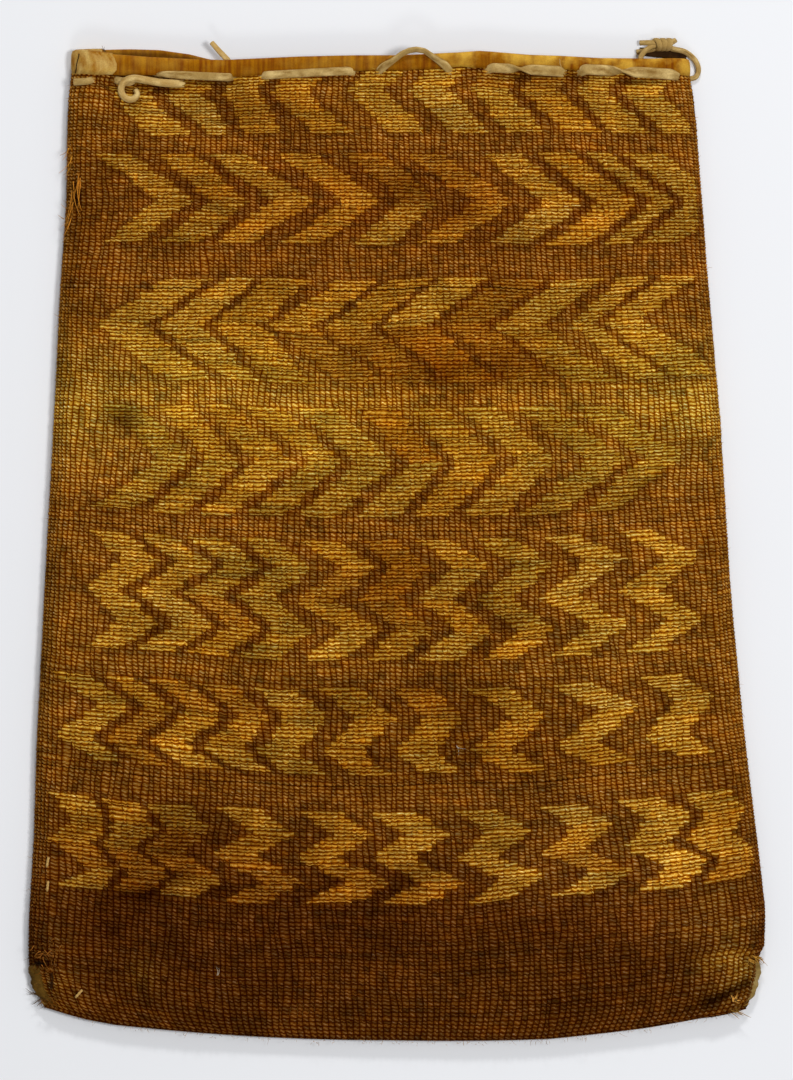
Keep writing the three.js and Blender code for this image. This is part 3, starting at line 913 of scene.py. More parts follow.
STAINS_AND_PAINTED_SHADOWS = {
    Tint.PALE: (
        (-155, -35, 14, 10, 0.5), (15, 268, 30, 8, 0.3), (172, 84, 36, 44, 0.28),
        (-188, 50, 22, 34, 0.25), (-96, 86, 76, 26, 0.4), (152, -44, 44, 46, 0.3),
        (172, -178, 42, 44, 0.4), (198, -236, 22, 38, 0.95), (-202, -270, 22, 18, 0.8),
        (203, -268, 18, 18, 0.9), (-150, -262, 9, 12, 0.4), (164, 250, 18, 16, 0.3),
        (88, -205, 22, 14, 0.85), (164, -236, 34, 12, 0.35), (-206, -213, 14, 12, 0.35),
        (204, -279, 6, 3, 0.8), (-192, -201, 14, 12, 0.5), (140, -202, 30, 14, 0.35),
        (128, -63, 24, 14, 0.45), (-118, -8, 16, 12, 0.75), (-118, 47, 14, 10, 0.6),
        (-52, 47, 14, 10, 0.7), (145, -118, 16, 12, 0.7), (159, 266, 14, 8, 0.4),
        (204, -257, 12, 9, 0.8), (160, -228, 40, 12, 0.3),
    ),
    Tint.GOLD: (
        (198, -244, 30, 34, 0.8), (-152, -263, 10, 12, 0.9), (-205, -272, 14, 12, 0.8),
        (204, -262, 16, 14, 0.7), (-205, -240, 12, 12, 0.5), (70, -256, 60, 20, 0.25),
    ),
    Tint.YELLOW: (
        (178, 78, 36, 36, 0.9), (-172, 74, 42, 24, 0.7), (120, -192, 80, 26, 0.7),
    ),
    Tint.DARK: (
        (-128, -174, 76, 24, 0.52), (-4, -203, 46, 12, 0.5), (195, -155, 14, 30, 0.3),
        (-85, 268, 24, 8, 0.3), (-150, 213, 50, 16, 0.2), (-40, 158, 30, 9, 0.2),
        (174, 103, 30, 12, 0.25), (-192, 130, 20, 34, 0.22), (-162, 70, 9, 9, 0.75),
        (-70, 252, 26, 16, 0.45), (-113, 196, 18, 12, 0.3), (40, 186, 20, 20, 0.5),
        (-80, 172, 22, 12, 0.2), (-20, 146, 42, 12, 0.2), (68, 147, 16, 10, 0.3),
        (8, 114, 18, 18, 0.24), (-186, 200, 22, 24, 0.35), (-190, 160, 22, 30, 0.3),
        (-20, 212, 20, 12, 0.3), (34, 94, 44, 22, 0.3), (30, 92, 12, 8, 0.4), (32, 10, 70, 10, 0.2),
        (0, -24, 16, 12, 0.4), (24, -44, 48, 18, 0.24), (65, -50, 10, 8, 0.5), (50, -66, 10, 9, 0.5),
        (18, -88, 30, 12, 0.5), (48, -108, 20, 20, 0.6), (-18, -104, 40, 22, 0.2),
        (-66, -104, 30, 10, 0.25), (-18, -133, 20, 10, 0.45), (50, -138, 18, 20, 0.25),
        (88, -122, 18, 14, 0.3), (-133, -203, 10, 10, 0.6), (-107, -212, 20, 9, 0.5),
        (-158, -215, 26, 17, 0.8), (-50, -216, 50, 12, 0.4), (-130, -184, 44, 16, 0.4),
        (-50, -173, 12, 10, 0.4), (-60, -236, 100, 14, 0.3), (-172, -238, 18, 24, 0.4),
        (92, -238, 34, 12, 0.25), (-8, -242, 32, 12, 0.25), (-92, -270, 44, 15, 0.3),
        (112, -272, 40, 12, 0.2), (45, -170, 8, 8, 0.4), (168, -156, 10, 6, 0.3),
        # On the next line, the ovals at (-150, 271) and (-214, -256) are painted shadow: under the
        # binding's gape and in the gap at the left base corner.
        (-193, 208, 5, 22, 0.5), (-150, 271, 24, 4, 0.85), (-214, -256, 10, 2.5, 0.9),
        (-30, -146, 130, 11, 0.34), (-4, -36, 24, 10, 0.25), (79, 20, 14, 9, 0.5),
        (80, 103, 24, 13, 0.5), (68, 156, 16, 12, 0.3), (194, 38, 16, 16, 0.4),
        (-121, -256, 20, 10, 0.35),
    ),
    Tint.RUST: (
        (20, 103, 60, 18, 0.3), (50, 98, 62, 28, 0.42), (-60, 205, 60, 30, 0.3), (30, 200, 60, 26, 0.3),
        (70, 122, 20, 12, 0.3), (-106, 70, 16, 10, 0.35), (84, 66, 16, 8, 0.35),
    ),
    Tint.GREEN: (
        (-142, 38, 16, 7, 0.4), (-106, 38, 16, 7, 0.15), (-20, 34, 18, 8, 0.5), (110, 38, 16, 7, 0.5),
        (-97, -17, 14, 8, 0.5), (-67, -20, 16, 8, 0.5), (76, -20, 16, 7, 0.5),
    ),
    # Painted shadows: in the creases and gaps at the base corners, under the binding, the thongs and the
    # curled end.
    Tint.SHADE: (
        (212, -267.6, 3.5, 2.2, 0.8), (-120, 272.3, 20, 2, 0.65), (-50, 274, 24, 1.6, 0.4),
        (80, 276, 20, 2, 0.65), (150, 272.8, 16, 2.4, 0.75), (120, 275.2, 10, 1.8, 0.5),
        (-137, 267.6, 12, 2.8, 0.7), (-156, 260.3, 7, 2.4, 0.6), (-147, 276.3, 14, 2.2, 0.9),
        (-213, -255.5, 8, 1.8, 0.9), (186, -281, 5, 3, 0.6), (191.5, -278.5, 5, 3.2, 0.85),
        (197.5, -275.5, 5, 3.2, 0.95), (203, -272.5, 5, 3.2, 0.95), (208.5, -269.5, 4.5, 2.8, 0.9),
        (214.5, -245.2, 3, 1.4, 0.9),
    ),
}
BLOTS = tuple(Blot(tint, *oval) for tint, ovals in STAINS_AND_PAINTED_SHADOWS.items() for oval in ovals)


@dataclass(frozen=True)
class GroundTone:
    """How light and how yellow the twining is along the bag, by height."""

    levels: Table = (
        (-300, 0.33), (-256, 0.31), (-229, 0.33), (-200, 0.53), (-180, 0.67), (-150, 0.73),
        (-110, 0.77), (-20, 0.86), (20, 0.95), (47, 1.1), (75, 1.3), (103, 1.08), (130, 1.03),
        (165, 0.84), (200, 0.8), (240, 0.84), (300, 0.96),
    )
    greens: Table = (
        (-300, 0.84), (-256, 0.8), (-229, 0.79), (-201, 0.87), (-173, 0.96), (-100, 1.01), (-70, 1.03),
        (20, 1.01), (47, 1.11), (75, 1.24), (103, 1.21), (130, 1.07), (158, 0.97), (200, 0.96),
        (260, 1.0), (300, 1.02),
    )
    light: Numbers = (191, 148, 70)
    # Painted shade between the husk figures: how much the ground darkens in red, green and blue, and how
    # that fades where the ground is light.
    gap_painted_shades: Numbers = (0.41, 0.5, 0.55)
    gap_start: float = 2.6
    gap_fall: float = 1.6
    gap_range: Pair = (0.35, 1.0)
    blue_lift: float = 1.28
    husk_share: float = 0.5
    broad_mottle: Pair = (0.13, 55.0)
    fine_mottle: Pair = (0.08, 20.0)
    patches: Pair = (0.3, 22.0)
    tone_range: Pair = (0.45, 1.32)
    warm_range: Pair = (0.5, 1.5)
    warm_tint: Triple = (0.03, -0.02, -0.18)

    def hue(self, y: Array) -> Array:
        """Return the factors on red, green and blue at each height, blue being the lifted root of green."""
        green = looked_up(self.greens, y)
        return np.stack([np.ones_like(green), green, self.blue_lift * np.sqrt(green)], -1)


@dataclass(frozen=True)
class StitchNoise:
    """How far the stitches' colours wander, by thread, by stitch, and along columns and rows."""

    thread: float = 0.09
    husk_stitch: float = 0.09
    ground_stitch: float = 0.2
    column: float = 0.08
    row: float = 0.06
    warmth: float = 0.5
    row_warmth: float = 0.4
    passes: int = 12
    # How far and how strongly nearness to the husk spreads, which sets the painted shade between figures.
    near_passes: int = 4
    near_gain: float = 2.2


class WeaveChart:
    """Which stitches of the front are husk, and the colour of every stitch in the ring."""

    def __init__(self, section: Section, first_row: int, last_row: int) -> None:
        """Lay the bands out on the ring's rows and columns.

        Args:
            section: the ring of columns.
            first_row: first row made, which lies under the binding.
            last_row: row after the last one.
        """
        self.rows = np.arange(first_row, last_row) + 0.5
        rng = np.random.default_rng(SEED)
        noise = StitchNoise()
        chart_rows = CHART_ROWS * row_share(self.rows)
        shape = (len(self.rows), section.columns)
        self.husk = np.zeros(shape, bool)
        self.husk_colour = np.zeros(shape + (3,))
        columns = np.arange(-section.overlap, section.front_columns + section.overlap)
        warps = section.first_warp + (columns + 0.5) * section.chart_front / section.front_columns
        across = warps[None, :, None]
        for band in HUSK_BANDS:
            starts, ends = band.spans(chart_rows, rng)
            inside = (across >= starts[:, None, :]) & (across < ends[:, None, :])
            figure = inside.argmax(axis=2)
            strand = np.take_along_axis(rng.normal(0.0, noise.thread, starts.shape), figure, axis=1)
            colours = band.dye_table()[band.stretch(chart_rows)[:, None], figure]
            worked = inside.any(axis=2)
            row, column = np.nonzero(worked)
            self.husk[row, columns[column]] = True
            self.husk_colour[row, columns[column]] = (colours * (1.0 + strand[..., None]))[worked]
        # Nearness to the husk, which sets the painted shade on the ground between the figures.
        near = spread(self.husk.astype(float), noise.near_passes)
        self.nearness = np.clip(noise.near_gain * near, 0.0, 1.0)
        cell = rng.normal(0.0, 1.0, shape)
        column = soft_noise(rng, shape, 0, noise.passes)
        row = soft_noise(rng, shape, 1, noise.passes)
        ground = noise.ground_stitch * cell + noise.column * column + noise.row * row
        self.tone = np.where(self.husk, noise.husk_stitch * cell + noise.row * row, ground)
        self.warmth = rng.normal(0.0, noise.warmth, shape) + noise.row_warmth * row

    def stitch_colours(self, x: Array, y: Array, front: Array) -> Array:
        """Colour of each stitch's crest.

        It is the dye of the husk or the light ground, times the height's lightness, times the blots. The
        ground near the husk is darkened and reddened as painted shade, and the SHADE blots are painted
        shadows.

        Args:
            x: X of each stitch.
            y: Y of each stitch.
            front: whether each stitch is on the front.

        Returns:
            Colours in linear light.
        """
        ground = GroundTone()
        level = looked_up(ground.levels, y)
        # Painted shade: the ground between husk figures is darkened, most in blue and least in red, as if
        # shadowed by the raised husk.
        gap = self.nearness * np.clip(ground.gap_start - ground.gap_fall * level, *ground.gap_range)
        gap = 1.0 - gap[..., None] * np.array(ground.gap_painted_shades)
        plain = linear(ground.light) * level[..., None] * gap
        taken = np.where(self.husk, ground.husk_share, 1.0)[..., None]
        crest = np.where(self.husk[..., None], self.husk_colour, plain) * mix(1.0, ground.hue(y), taken)
        mottle = 1.0 + ripple(x, y, ground.broad_mottle, 1) + ripple(x, y, ground.fine_mottle, 4)
        crest = crest * mottle[..., None]
        patchy = 1.0 + ripple(x, y, ground.patches, 2)
        for blot in BLOTS:
            share = (np.clip(blot.share(x, y) * patchy, 0.0, 1.0) * front)[..., None]
            share = share * taken if blot.tint is Tint.YELLOW else share
            crest = crest * mix(1.0, np.array(blot.tint.value), share)
        warm = 1.0 + self.warmth[..., None] * np.array(ground.warm_tint)
        tone = np.clip(1.0 + self.tone, *ground.tone_range)[..., None]
        return crest * tone * np.clip(warm, *ground.warm_range)


# The twined wall


@dataclass(frozen=True)
class Crease:
    """A soft furrow on the front along a straight line."""

    start: Pair
    end: Pair
    depth: float
    reach: float

    def sinking(self, x: Array, y: Array) -> Array:
        """Work out the sinking, depth exp(-(d / reach)^2) with d the distance to the line.

        Args:
            x: X of each place.
            y: Y of each place.

        Returns:
            The depth at each place.
        """
        (ax, ay), (bx, by) = self.start, self.end
        run_x, run_y = bx - ax, by - ay
        t = np.clip(((x - ax) * run_x + (y - ay) * run_y) / (run_x**2 + run_y**2), 0.0, 1.0)
        away = np.hypot(x - ax - t * run_x, y - ay - t * run_y)
        return self.depth * hump(away, 0.0, self.reach)


CREASES = (
    Crease((183, -282), (212, -267), 0.9, 3.5),
    Crease((190, -288), (211, -275), -1.3, 4.0),
    Crease((-221, -256), (-208, -255), 0.8, 1.6),
    Crease((-206, -261), (-206, -277), 0.7, 1.6),
)


@dataclass
class TwinedWall:
    """The seamless twined wall, every stitch a slanted ridge of its own, in four rings of rows."""

    section: Section
    rows_under_binding: int = 3
    fold_rows: int = 2
    zone_rows: tuple[int, ...] = (65, 133, 201)
    sink: float = 0.6
    ground_ridge: float = 0.8
    ground_waist: float = 0.1
    ground_mid: float = -0.9
    ground_corner: float = -0.9
    husk_ridge: float = 1.25
    husk_waist: float = -0.15
    husk_mid: float = 0.95
    husk_corner: float = -0.8
    ridge_ends: Pair = (0.27, 0.73)
    husk_ends: Pair = (0.16, 0.84)
    slant: float = 0.24
    husk_slant: float = 0.08
    # Painted shade with some dirt: the corner, waist and mid shares of light below, and the groove tint.
    corner_dirt_and_shade: float = 0.03
    waist_dirt_and_shades: Pair = (0.22, 0.16)
    mid_dirt_and_shades: Pair = (0.1, 0.82)
    groove_wave: float = 0.12
    waist_jitters: Pair = (0.12, 0.5)
    mid_jitters: Pair = (0.07, 0.45)
    groove_shade_tint: Triple = (1.0, 0.84, 0.6)
    painted_inner_shade: float = 0.5
    side_relief: float = 0.5
    back_sink: float = 1.0
    height_jitter: float = 0.16
    place_jitters: Pair = (0.06, 0.12)
    row_wander: float = 0.16
    column_wander: float = 0.14
    wander_passes: int = 10
    calm_rows: Pair = (3.0, 4.0)
    calm_share: float = 0.05
    sway_across: Pair = (0.8, 70.0)
    sway_down: Pair = (0.8, 90.0)
    swell: Pair = (0.5, 120.0)
    front_turn: Pair = (0.6, 1.0)
    back_turn: Pair = (0.2, 1.0)
    waist_range: Pair = (0.3, 2.2)
    mid_range: Pair = (0.3, 2.4)
    inner_step: int = 9
    creases: tuple[Crease, ...] = CREASES

    def __post_init__(self) -> None:
        """Lay out rows and chart, and work out all points of the outer surface."""
        self.first_row = -self.rows_under_binding
        self.last_row = ROWS + self.fold_rows
        self.chart = WeaveChart(self.section, self.first_row, self.last_row)
        self.rng = np.random.default_rng(SEED + 5)
        self.work_out()

    def v_and_fold(self, row: Array) -> tuple[Array, Array]:
        """Share of the side edges and turn round the base, which the last rows share out evenly.

        Args:
            row: row from the binding, with parts of a row.

        Returns:
            The share and the turn, each from 0 to 1.
        """
        form = self.section.form
        end = 1.0 - self.section.fold_bulge / form.side_length
        v = mix(form.binding_v, end, row_share(np.minimum(row, ROWS)))
        return np.maximum(v, 0.0), np.clip((row - ROWS) / self.fold_rows, 0.0, 1.0)

    def raised(self, column: Array, row: Array, lift: Array) -> Array:
        """Points on the wall, swayed in its plane and lifted along its normal.

        Args:
            column: column round the ring, with parts of a column.
            row: row from the binding, with parts of a row.
            lift: height over the sunk surface.

        Returns:
            Points in millimetres.
        """
        v, fold = self.v_and_fold(row)
        points, normals = self.section.place(column, v, fold)
        x, y = points[..., 0], points[..., 1]
        still = smoothstep(v, 0.0, self.calm_share) * (1.0 - fold)
        upward = np.maximum(normals[..., 2], 0.0)
        swell = ripple(x, y, self.swell, 3) * upward * still
        sunk = sum(crease.sinking(x, y) for crease in self.creases) * upward
        facing = np.abs(normals[..., 2])
        relief = mix(self.side_relief, 1.0, facing) * (1.0 - fold)
        under = self.back_sink * smoothstep(-normals[..., 2], *self.back_turn)
        points = points + normals * ((lift - self.sink) * relief + swell - sunk - under)[..., None]
        sway = (ripple(x, y, self.sway_across, 6), ripple(x, y, self.sway_down, 7), np.zeros_like(x))
        return points + np.stack(sway, -1) * (still * smoothstep(upward, *self.front_turn))[..., None]

    def work_out(self) -> None:
        """Work out every corner, waist, mid and ridge point with its dye and its share of light.

        The share of light is painted shade with some dirt: low in the grooves, full on the ridges, and the
        grooves' dyes redder.

        A stitch's ridge runs from its left end, a little above the row's middle, to its right end, a little
        below. Corners lie in the grooves. Mids lie between neighbouring stitches of a row, high where both
        are husk. Waists lie between stitches of a column, high where both are plain, so that plain columns
        look like cords. Rows and columns wander a little, each by a smooth noise of its own.
        """
        chart, rng = self.chart, self.rng
        husk = chart.husk.astype(float)
        self.count, columns = husk.shape
        at_row = np.arange(self.first_row, self.last_row, dtype=float)[:, None] + np.zeros((1, columns))
        at_column = np.arange(columns, dtype=float)[None, :] + np.zeros((self.count, 1))
        line_row = np.vstack([at_row, at_row[-1:] + 1.0])
        line_column = np.vstack([at_column, at_column[-1:]])
        first_calm, last_calm = self.calm_rows
        calm = smoothstep(line_row, 0.0, first_calm) * (1.0 - smoothstep(line_row, ROWS - last_calm, ROWS))
        row_shift = self.row_wander * calm * soft_noise(rng, line_row.shape, 1, self.wander_passes)
        column_shift = self.column_wander * calm * soft_noise(rng, line_row.shape, 0, self.wander_passes)
        both = husk * np.roll(husk, 1, axis=1)
        padded = np.vstack([husk[:1], husk, husk[-1:]])
        stacked = padded[:-1] * padded[1:]
        either = np.maximum(padded[:-1], padded[1:])
        around = stacked * np.roll(stacked, 1, axis=1)
        corner_row = line_row + row_shift - self.groove_wave * around
        corner_lift = mix(self.ground_corner, self.husk_corner, around)
        self.corners = self.raised(line_column + column_shift, corner_row, corner_lift)
        wobble = rng.normal(0.0, 1.0, either.shape) * either * calm
        waist_row = 0.5 * (row_shift + np.roll(row_shift, -1, axis=1)) + line_row
        waist_row = waist_row + self.waist_jitters[0] * wobble + self.groove_wave * stacked
        waist_column = 0.5 * (column_shift + np.roll(column_shift, -1, axis=1)) + line_column + 0.5
        waist_lift = mix(self.ground_waist, self.husk_waist, either)
        self.waists = self.raised(waist_column, waist_row, waist_lift)
        mid_row = 0.5 * (row_shift[:-1] + row_shift[1:]) + at_row + 0.5
        mid_column = 0.5 * (column_shift[:-1] + column_shift[1:])
        aside = self.mid_jitters[0] * rng.normal(0.0, 1.0, both.shape) * calm[:-1]
        mid_lift = mix(self.ground_mid, self.husk_mid, both)
        self.mids = self.raised(at_column + mid_column + aside, mid_row, mid_lift)
        ends = mix(np.array(self.ridge_ends), np.array(self.husk_ends), husk[..., None])
        jitter = mix(*self.place_jitters, husk)[..., None]
        ends = ends + jitter * rng.normal(0.0, 1.0, ends.shape)
        slants = mix(self.slant, self.husk_slant, husk)[..., None] * np.array([-1.0, 1.0])
        slants = slants + jitter * rng.normal(0.0, 1.0, ends.shape)
        ridge_lift = mix(self.ground_ridge, self.husk_ridge, husk)
        ridge_lift = ridge_lift + rng.normal(0.0, self.height_jitter, husk.shape)
        next_row = np.roll(mid_row, -1, axis=1)
        next_column = np.roll(mid_column, -1, axis=1)
        ridge_row = mix(mid_row[..., None], next_row[..., None], ends) + slants
        ridge_column = mix(mid_column[..., None], next_column[..., None], ends)
        ridge_column = at_column[..., None] + ends + ridge_column
        self.ridges = self.raised(ridge_column, ridge_row, ridge_lift[..., None] + np.zeros(2))
        centre = self.ridges.mean(axis=2)
        overlap = self.section.overlap
        along = np.mod(at_column + overlap, columns)
        front = (along < self.section.front_columns + 2 * overlap) & (at_row < ROWS)
        crest = chart.stitch_colours(centre[..., 0], centre[..., 1], front.astype(float))
        doubled = np.concatenate([crest[:1], crest, crest[-1:]])
        # Painted shade with some dirt: the grooves' dyes are reddened.
        self.waist_dye = 0.5 * (doubled[:-1] + doubled[1:]) * np.array(self.groove_shade_tint)
        self.corner_dye = 0.5 * (self.waist_dye + np.roll(self.waist_dye, 1, axis=1))
        self.mid_dye = 0.5 * (crest + np.roll(crest, 1, axis=1))
        self.ridge_dye = np.repeat(crest[:, :, None, :], 2, axis=2)
        # Painted shade with some dirt: waists and mids take less light than the ridges, unevenly.
        uneven = 1.0 + self.waist_jitters[1] * rng.normal(0.0, 1.0, either.shape)
        self.waist_dirt_and_shade_light = mix(*self.waist_dirt_and_shades, either) * np.clip(uneven, *self.waist_range)
        uneven = 1.0 + self.mid_jitters[1] * rng.normal(0.0, 1.0, both.shape)
        self.mid_dirt_and_shade_light = np.minimum(mix(*self.mid_dirt_and_shades, both) * np.clip(uneven, *self.mid_range), 1.0)

    def zones(self) -> list[tuple[str, int, int]]:
        """List the rings that the wall is made in.

        Returns:
            Each ring's name, its first row, counted from the first one made, and the row after its last.
        """
        cuts = [0, *(row - self.first_row for row in self.zone_rows), self.count]
        names = ("twined_wall_upper", "twined_wall_middle", "twined_wall_lower", "twined_wall_base")
        return list(zip(names, cuts[:-1], cuts[1:]))

    def inner_face(self, start: int, stop: int) -> tuple[Array, Array]:
        """The plain inner face of a ring.

        Args:
            start: first row, counted from the first one made.
            stop: row after the last.

        Returns:
            Points by row and column, and the row of each line of points.
        """
        form = self.section.form
        rows = np.append(np.arange(start, stop, self.inner_step, dtype=float), stop) + self.first_row
        columns = np.arange(self.section.columns, dtype=float)[None, :]
        v, fold = self.v_and_fold(rows[:, None])
        v = np.minimum(v, 1.0 - 2.0 * form.wall / form.side_length)
        points, normals = self.section.place(columns, v, fold)
        thickness = form.wall * (1.0 - fold) + np.zeros_like(columns)
        return points - normals * thickness[..., None], rows

    @staticmethod
    def stitch_triangles(rows: int, columns: int, firsts: Array) -> Array:
        """Ten triangles for every stitch, between its corners, waists, mids and the ends of its ridge.

        Args:
            rows: rows in the ring.
            columns: columns in the ring.
            firsts: number of the first waist, mid and ridge point; the corners come before them.

        Returns:
            Three point numbers for each triangle.
        """
        i, j = np.meshgrid(np.arange(rows), np.arange(columns), indexing="ij")
        top_left, top_right = i * columns + j, i * columns + (j + 1) % columns
        low_left, low_right = top_left + columns, top_right + columns
        first_waist, first_mid, first_ridge = firsts
        top, low = first_waist + top_left, first_waist + low_left
        mid_left, mid_right = first_mid + top_left, first_mid + top_right
        ridge_left = first_ridge + 2 * top_left
        ridge_right = ridge_left + 1
        facets = (
            (top_left, ridge_left, top), (top, ridge_left, ridge_right), (top, ridge_right, top_right),
            (low_left, low, ridge_left), (low, ridge_right, ridge_left), (low, low_right, ridge_right),
            (top_left, mid_left, ridge_left), (mid_left, low_left, ridge_left),
            (top_right, ridge_right, mid_right), (mid_right, ridge_right, low_right),
        )
        return np.stack([np.stack(facet, -1) for facet in facets]).reshape(-1, 3)

    def lay(self, rows: int, inner_rows: Array) -> tuple[Array, Array]:
        """Column and row of each point of a ring, for its UV map.

        Args:
            rows: rows in the ring.
            inner_rows: row of each line of points on the inner face.

        Returns:
            Columns, and rows from the ring's first one, of corners, waists, mids, ridges and inner points.
        """
        columns = self.section.columns
        ring, lines = np.arange(columns), np.arange(rows + 1)
        stitch = np.arange(rows * columns)[:, None]
        u = np.concatenate([
            np.tile(ring, rows + 1),
            np.tile(ring + 0.5, rows + 1),
            np.tile(ring, rows),
            (stitch % columns + np.array(self.ridge_ends)).ravel(),
            np.tile(ring, len(inner_rows)),
        ])
        v = np.concatenate([
            np.tile(np.repeat(lines, columns), 2),
            np.repeat(lines[:-1] + 0.5, columns),
            (stitch // columns + 0.5 + np.array([-self.slant, self.slant])).ravel(),
            np.repeat(inner_rows - inner_rows[0], columns),
        ])
        return u, v

    def zone_surface(self, start: int, stop: int) -> Surface:
        """One ring of the wall: its stitches outside, a plain face inside, and rims that close it.

        Args:
            start: first row, counted from the first one made.
            stop: row after the last.

        Returns:
            A closed surface.
        """
        rows, columns = stop - start, self.section.columns
        lines, cells = slice(start, stop + 1), slice(start, stop)
        inner, inner_rows = self.inner_face(start, stop)
        groups = [self.corners[lines], self.waists[lines], self.mids[cells], self.ridges[cells], inner]
        groups = [group.reshape(-1, 3) for group in groups]
        firsts = np.concatenate([[0], np.cumsum([len(group) for group in groups])])
        first_waist, first_inner = firsts[1], firsts[4]
        ring = np.arange(columns)
        after = (ring + 1) % columns
        line = first_inner + np.arange(len(inner_rows) - 1)[:, None] * columns
        inner_quads = np.stack(
            [line + ring, line + after, line + columns + after, line + columns + ring], -1
        ).reshape(-1, 4)
        edge, deep = rows * columns, first_inner + (len(inner_rows) - 1) * columns
        rim_quads = np.concatenate([
            np.stack([ring, after, first_inner + after, first_inner + ring], -1),
            np.stack([edge + after, edge + ring, deep + ring, deep + after], -1),
        ])
        rim_triangles = np.concatenate([
            np.stack([first_waist + ring, after, ring], -1),
            np.stack([first_waist + edge + ring, edge + ring, edge + after], -1),
        ])
        triangles = np.concatenate([self.stitch_triangles(rows, columns, firsts[1:4]), rim_triangles])
        quads = np.concatenate([inner_quads, rim_quads])
        flat = np.zeros(len(quads) + len(triangles), bool)
        flat[len(inner_quads): len(quads)] = True
        flat[len(flat) - len(rim_triangles):] = True
        # Painted shade: the plain inner face takes only part of the ground's colour, for the bag's shaded
        # inside.
        plain = np.broadcast_to(linear(GroundTone().light) * self.painted_inner_shade, groups[4].shape)
        dyes = [self.corner_dye[lines], self.waist_dye[lines], self.mid_dye[cells], self.ridge_dye[cells]]
        colours = np.concatenate([*(dye.reshape(-1, 3) for dye in dyes), plain])
        # Each point's share of painted shade and dirt; ridges and the inner face take full light.
        light = np.concatenate([
            np.full(len(groups[0]), self.corner_dirt_and_shade),
            self.waist_dirt_and_shade_light[lines].ravel(),
            self.mid_dirt_and_shade_light[cells].ravel(),
            np.ones(len(groups[3]) + len(groups[4])),
        ])
        u, v = self.lay(rows, inner_rows)
        loops = np.concatenate([quads.ravel(), triangles.ravel()])
        uv = np.column_stack([self.unwrapped(u[loops], len(quads), columns), v[loops] + start])
        return Surface(np.concatenate(groups), quads, triangles, uv, colours, light, flat)

    @staticmethod
    def unwrapped(u: Array, quads: int, columns: int) -> Array:
        """Let the last column's faces run on past the ring's end, so that no face spans the whole ring.

        Args:
            u: column of each face corner, quads first.
            quads: number of quads.
            columns: columns in the ring.

        Returns:
            The columns, with the ring's start raised by one ring where a face crosses its end.
        """
        parts = []
        for faces in (u[: 4 * quads].reshape(-1, 4), u[4 * quads:].reshape(-1, 3)):
            crosses = faces.max(axis=1, keepdims=True) - faces.min(axis=1, keepdims=True) > columns / 2
            parts.append(np.where(crosses & (faces < columns / 2), faces + columns, faces).ravel())
        return np.concatenate(parts)

    def build(self, material: Material) -> None:
        """Make the four rings."""
        for name, start, stop in self.zones():
            place_piece(self.zone_surface(start, stop), name, material, ("twined_bag",))


# The rim


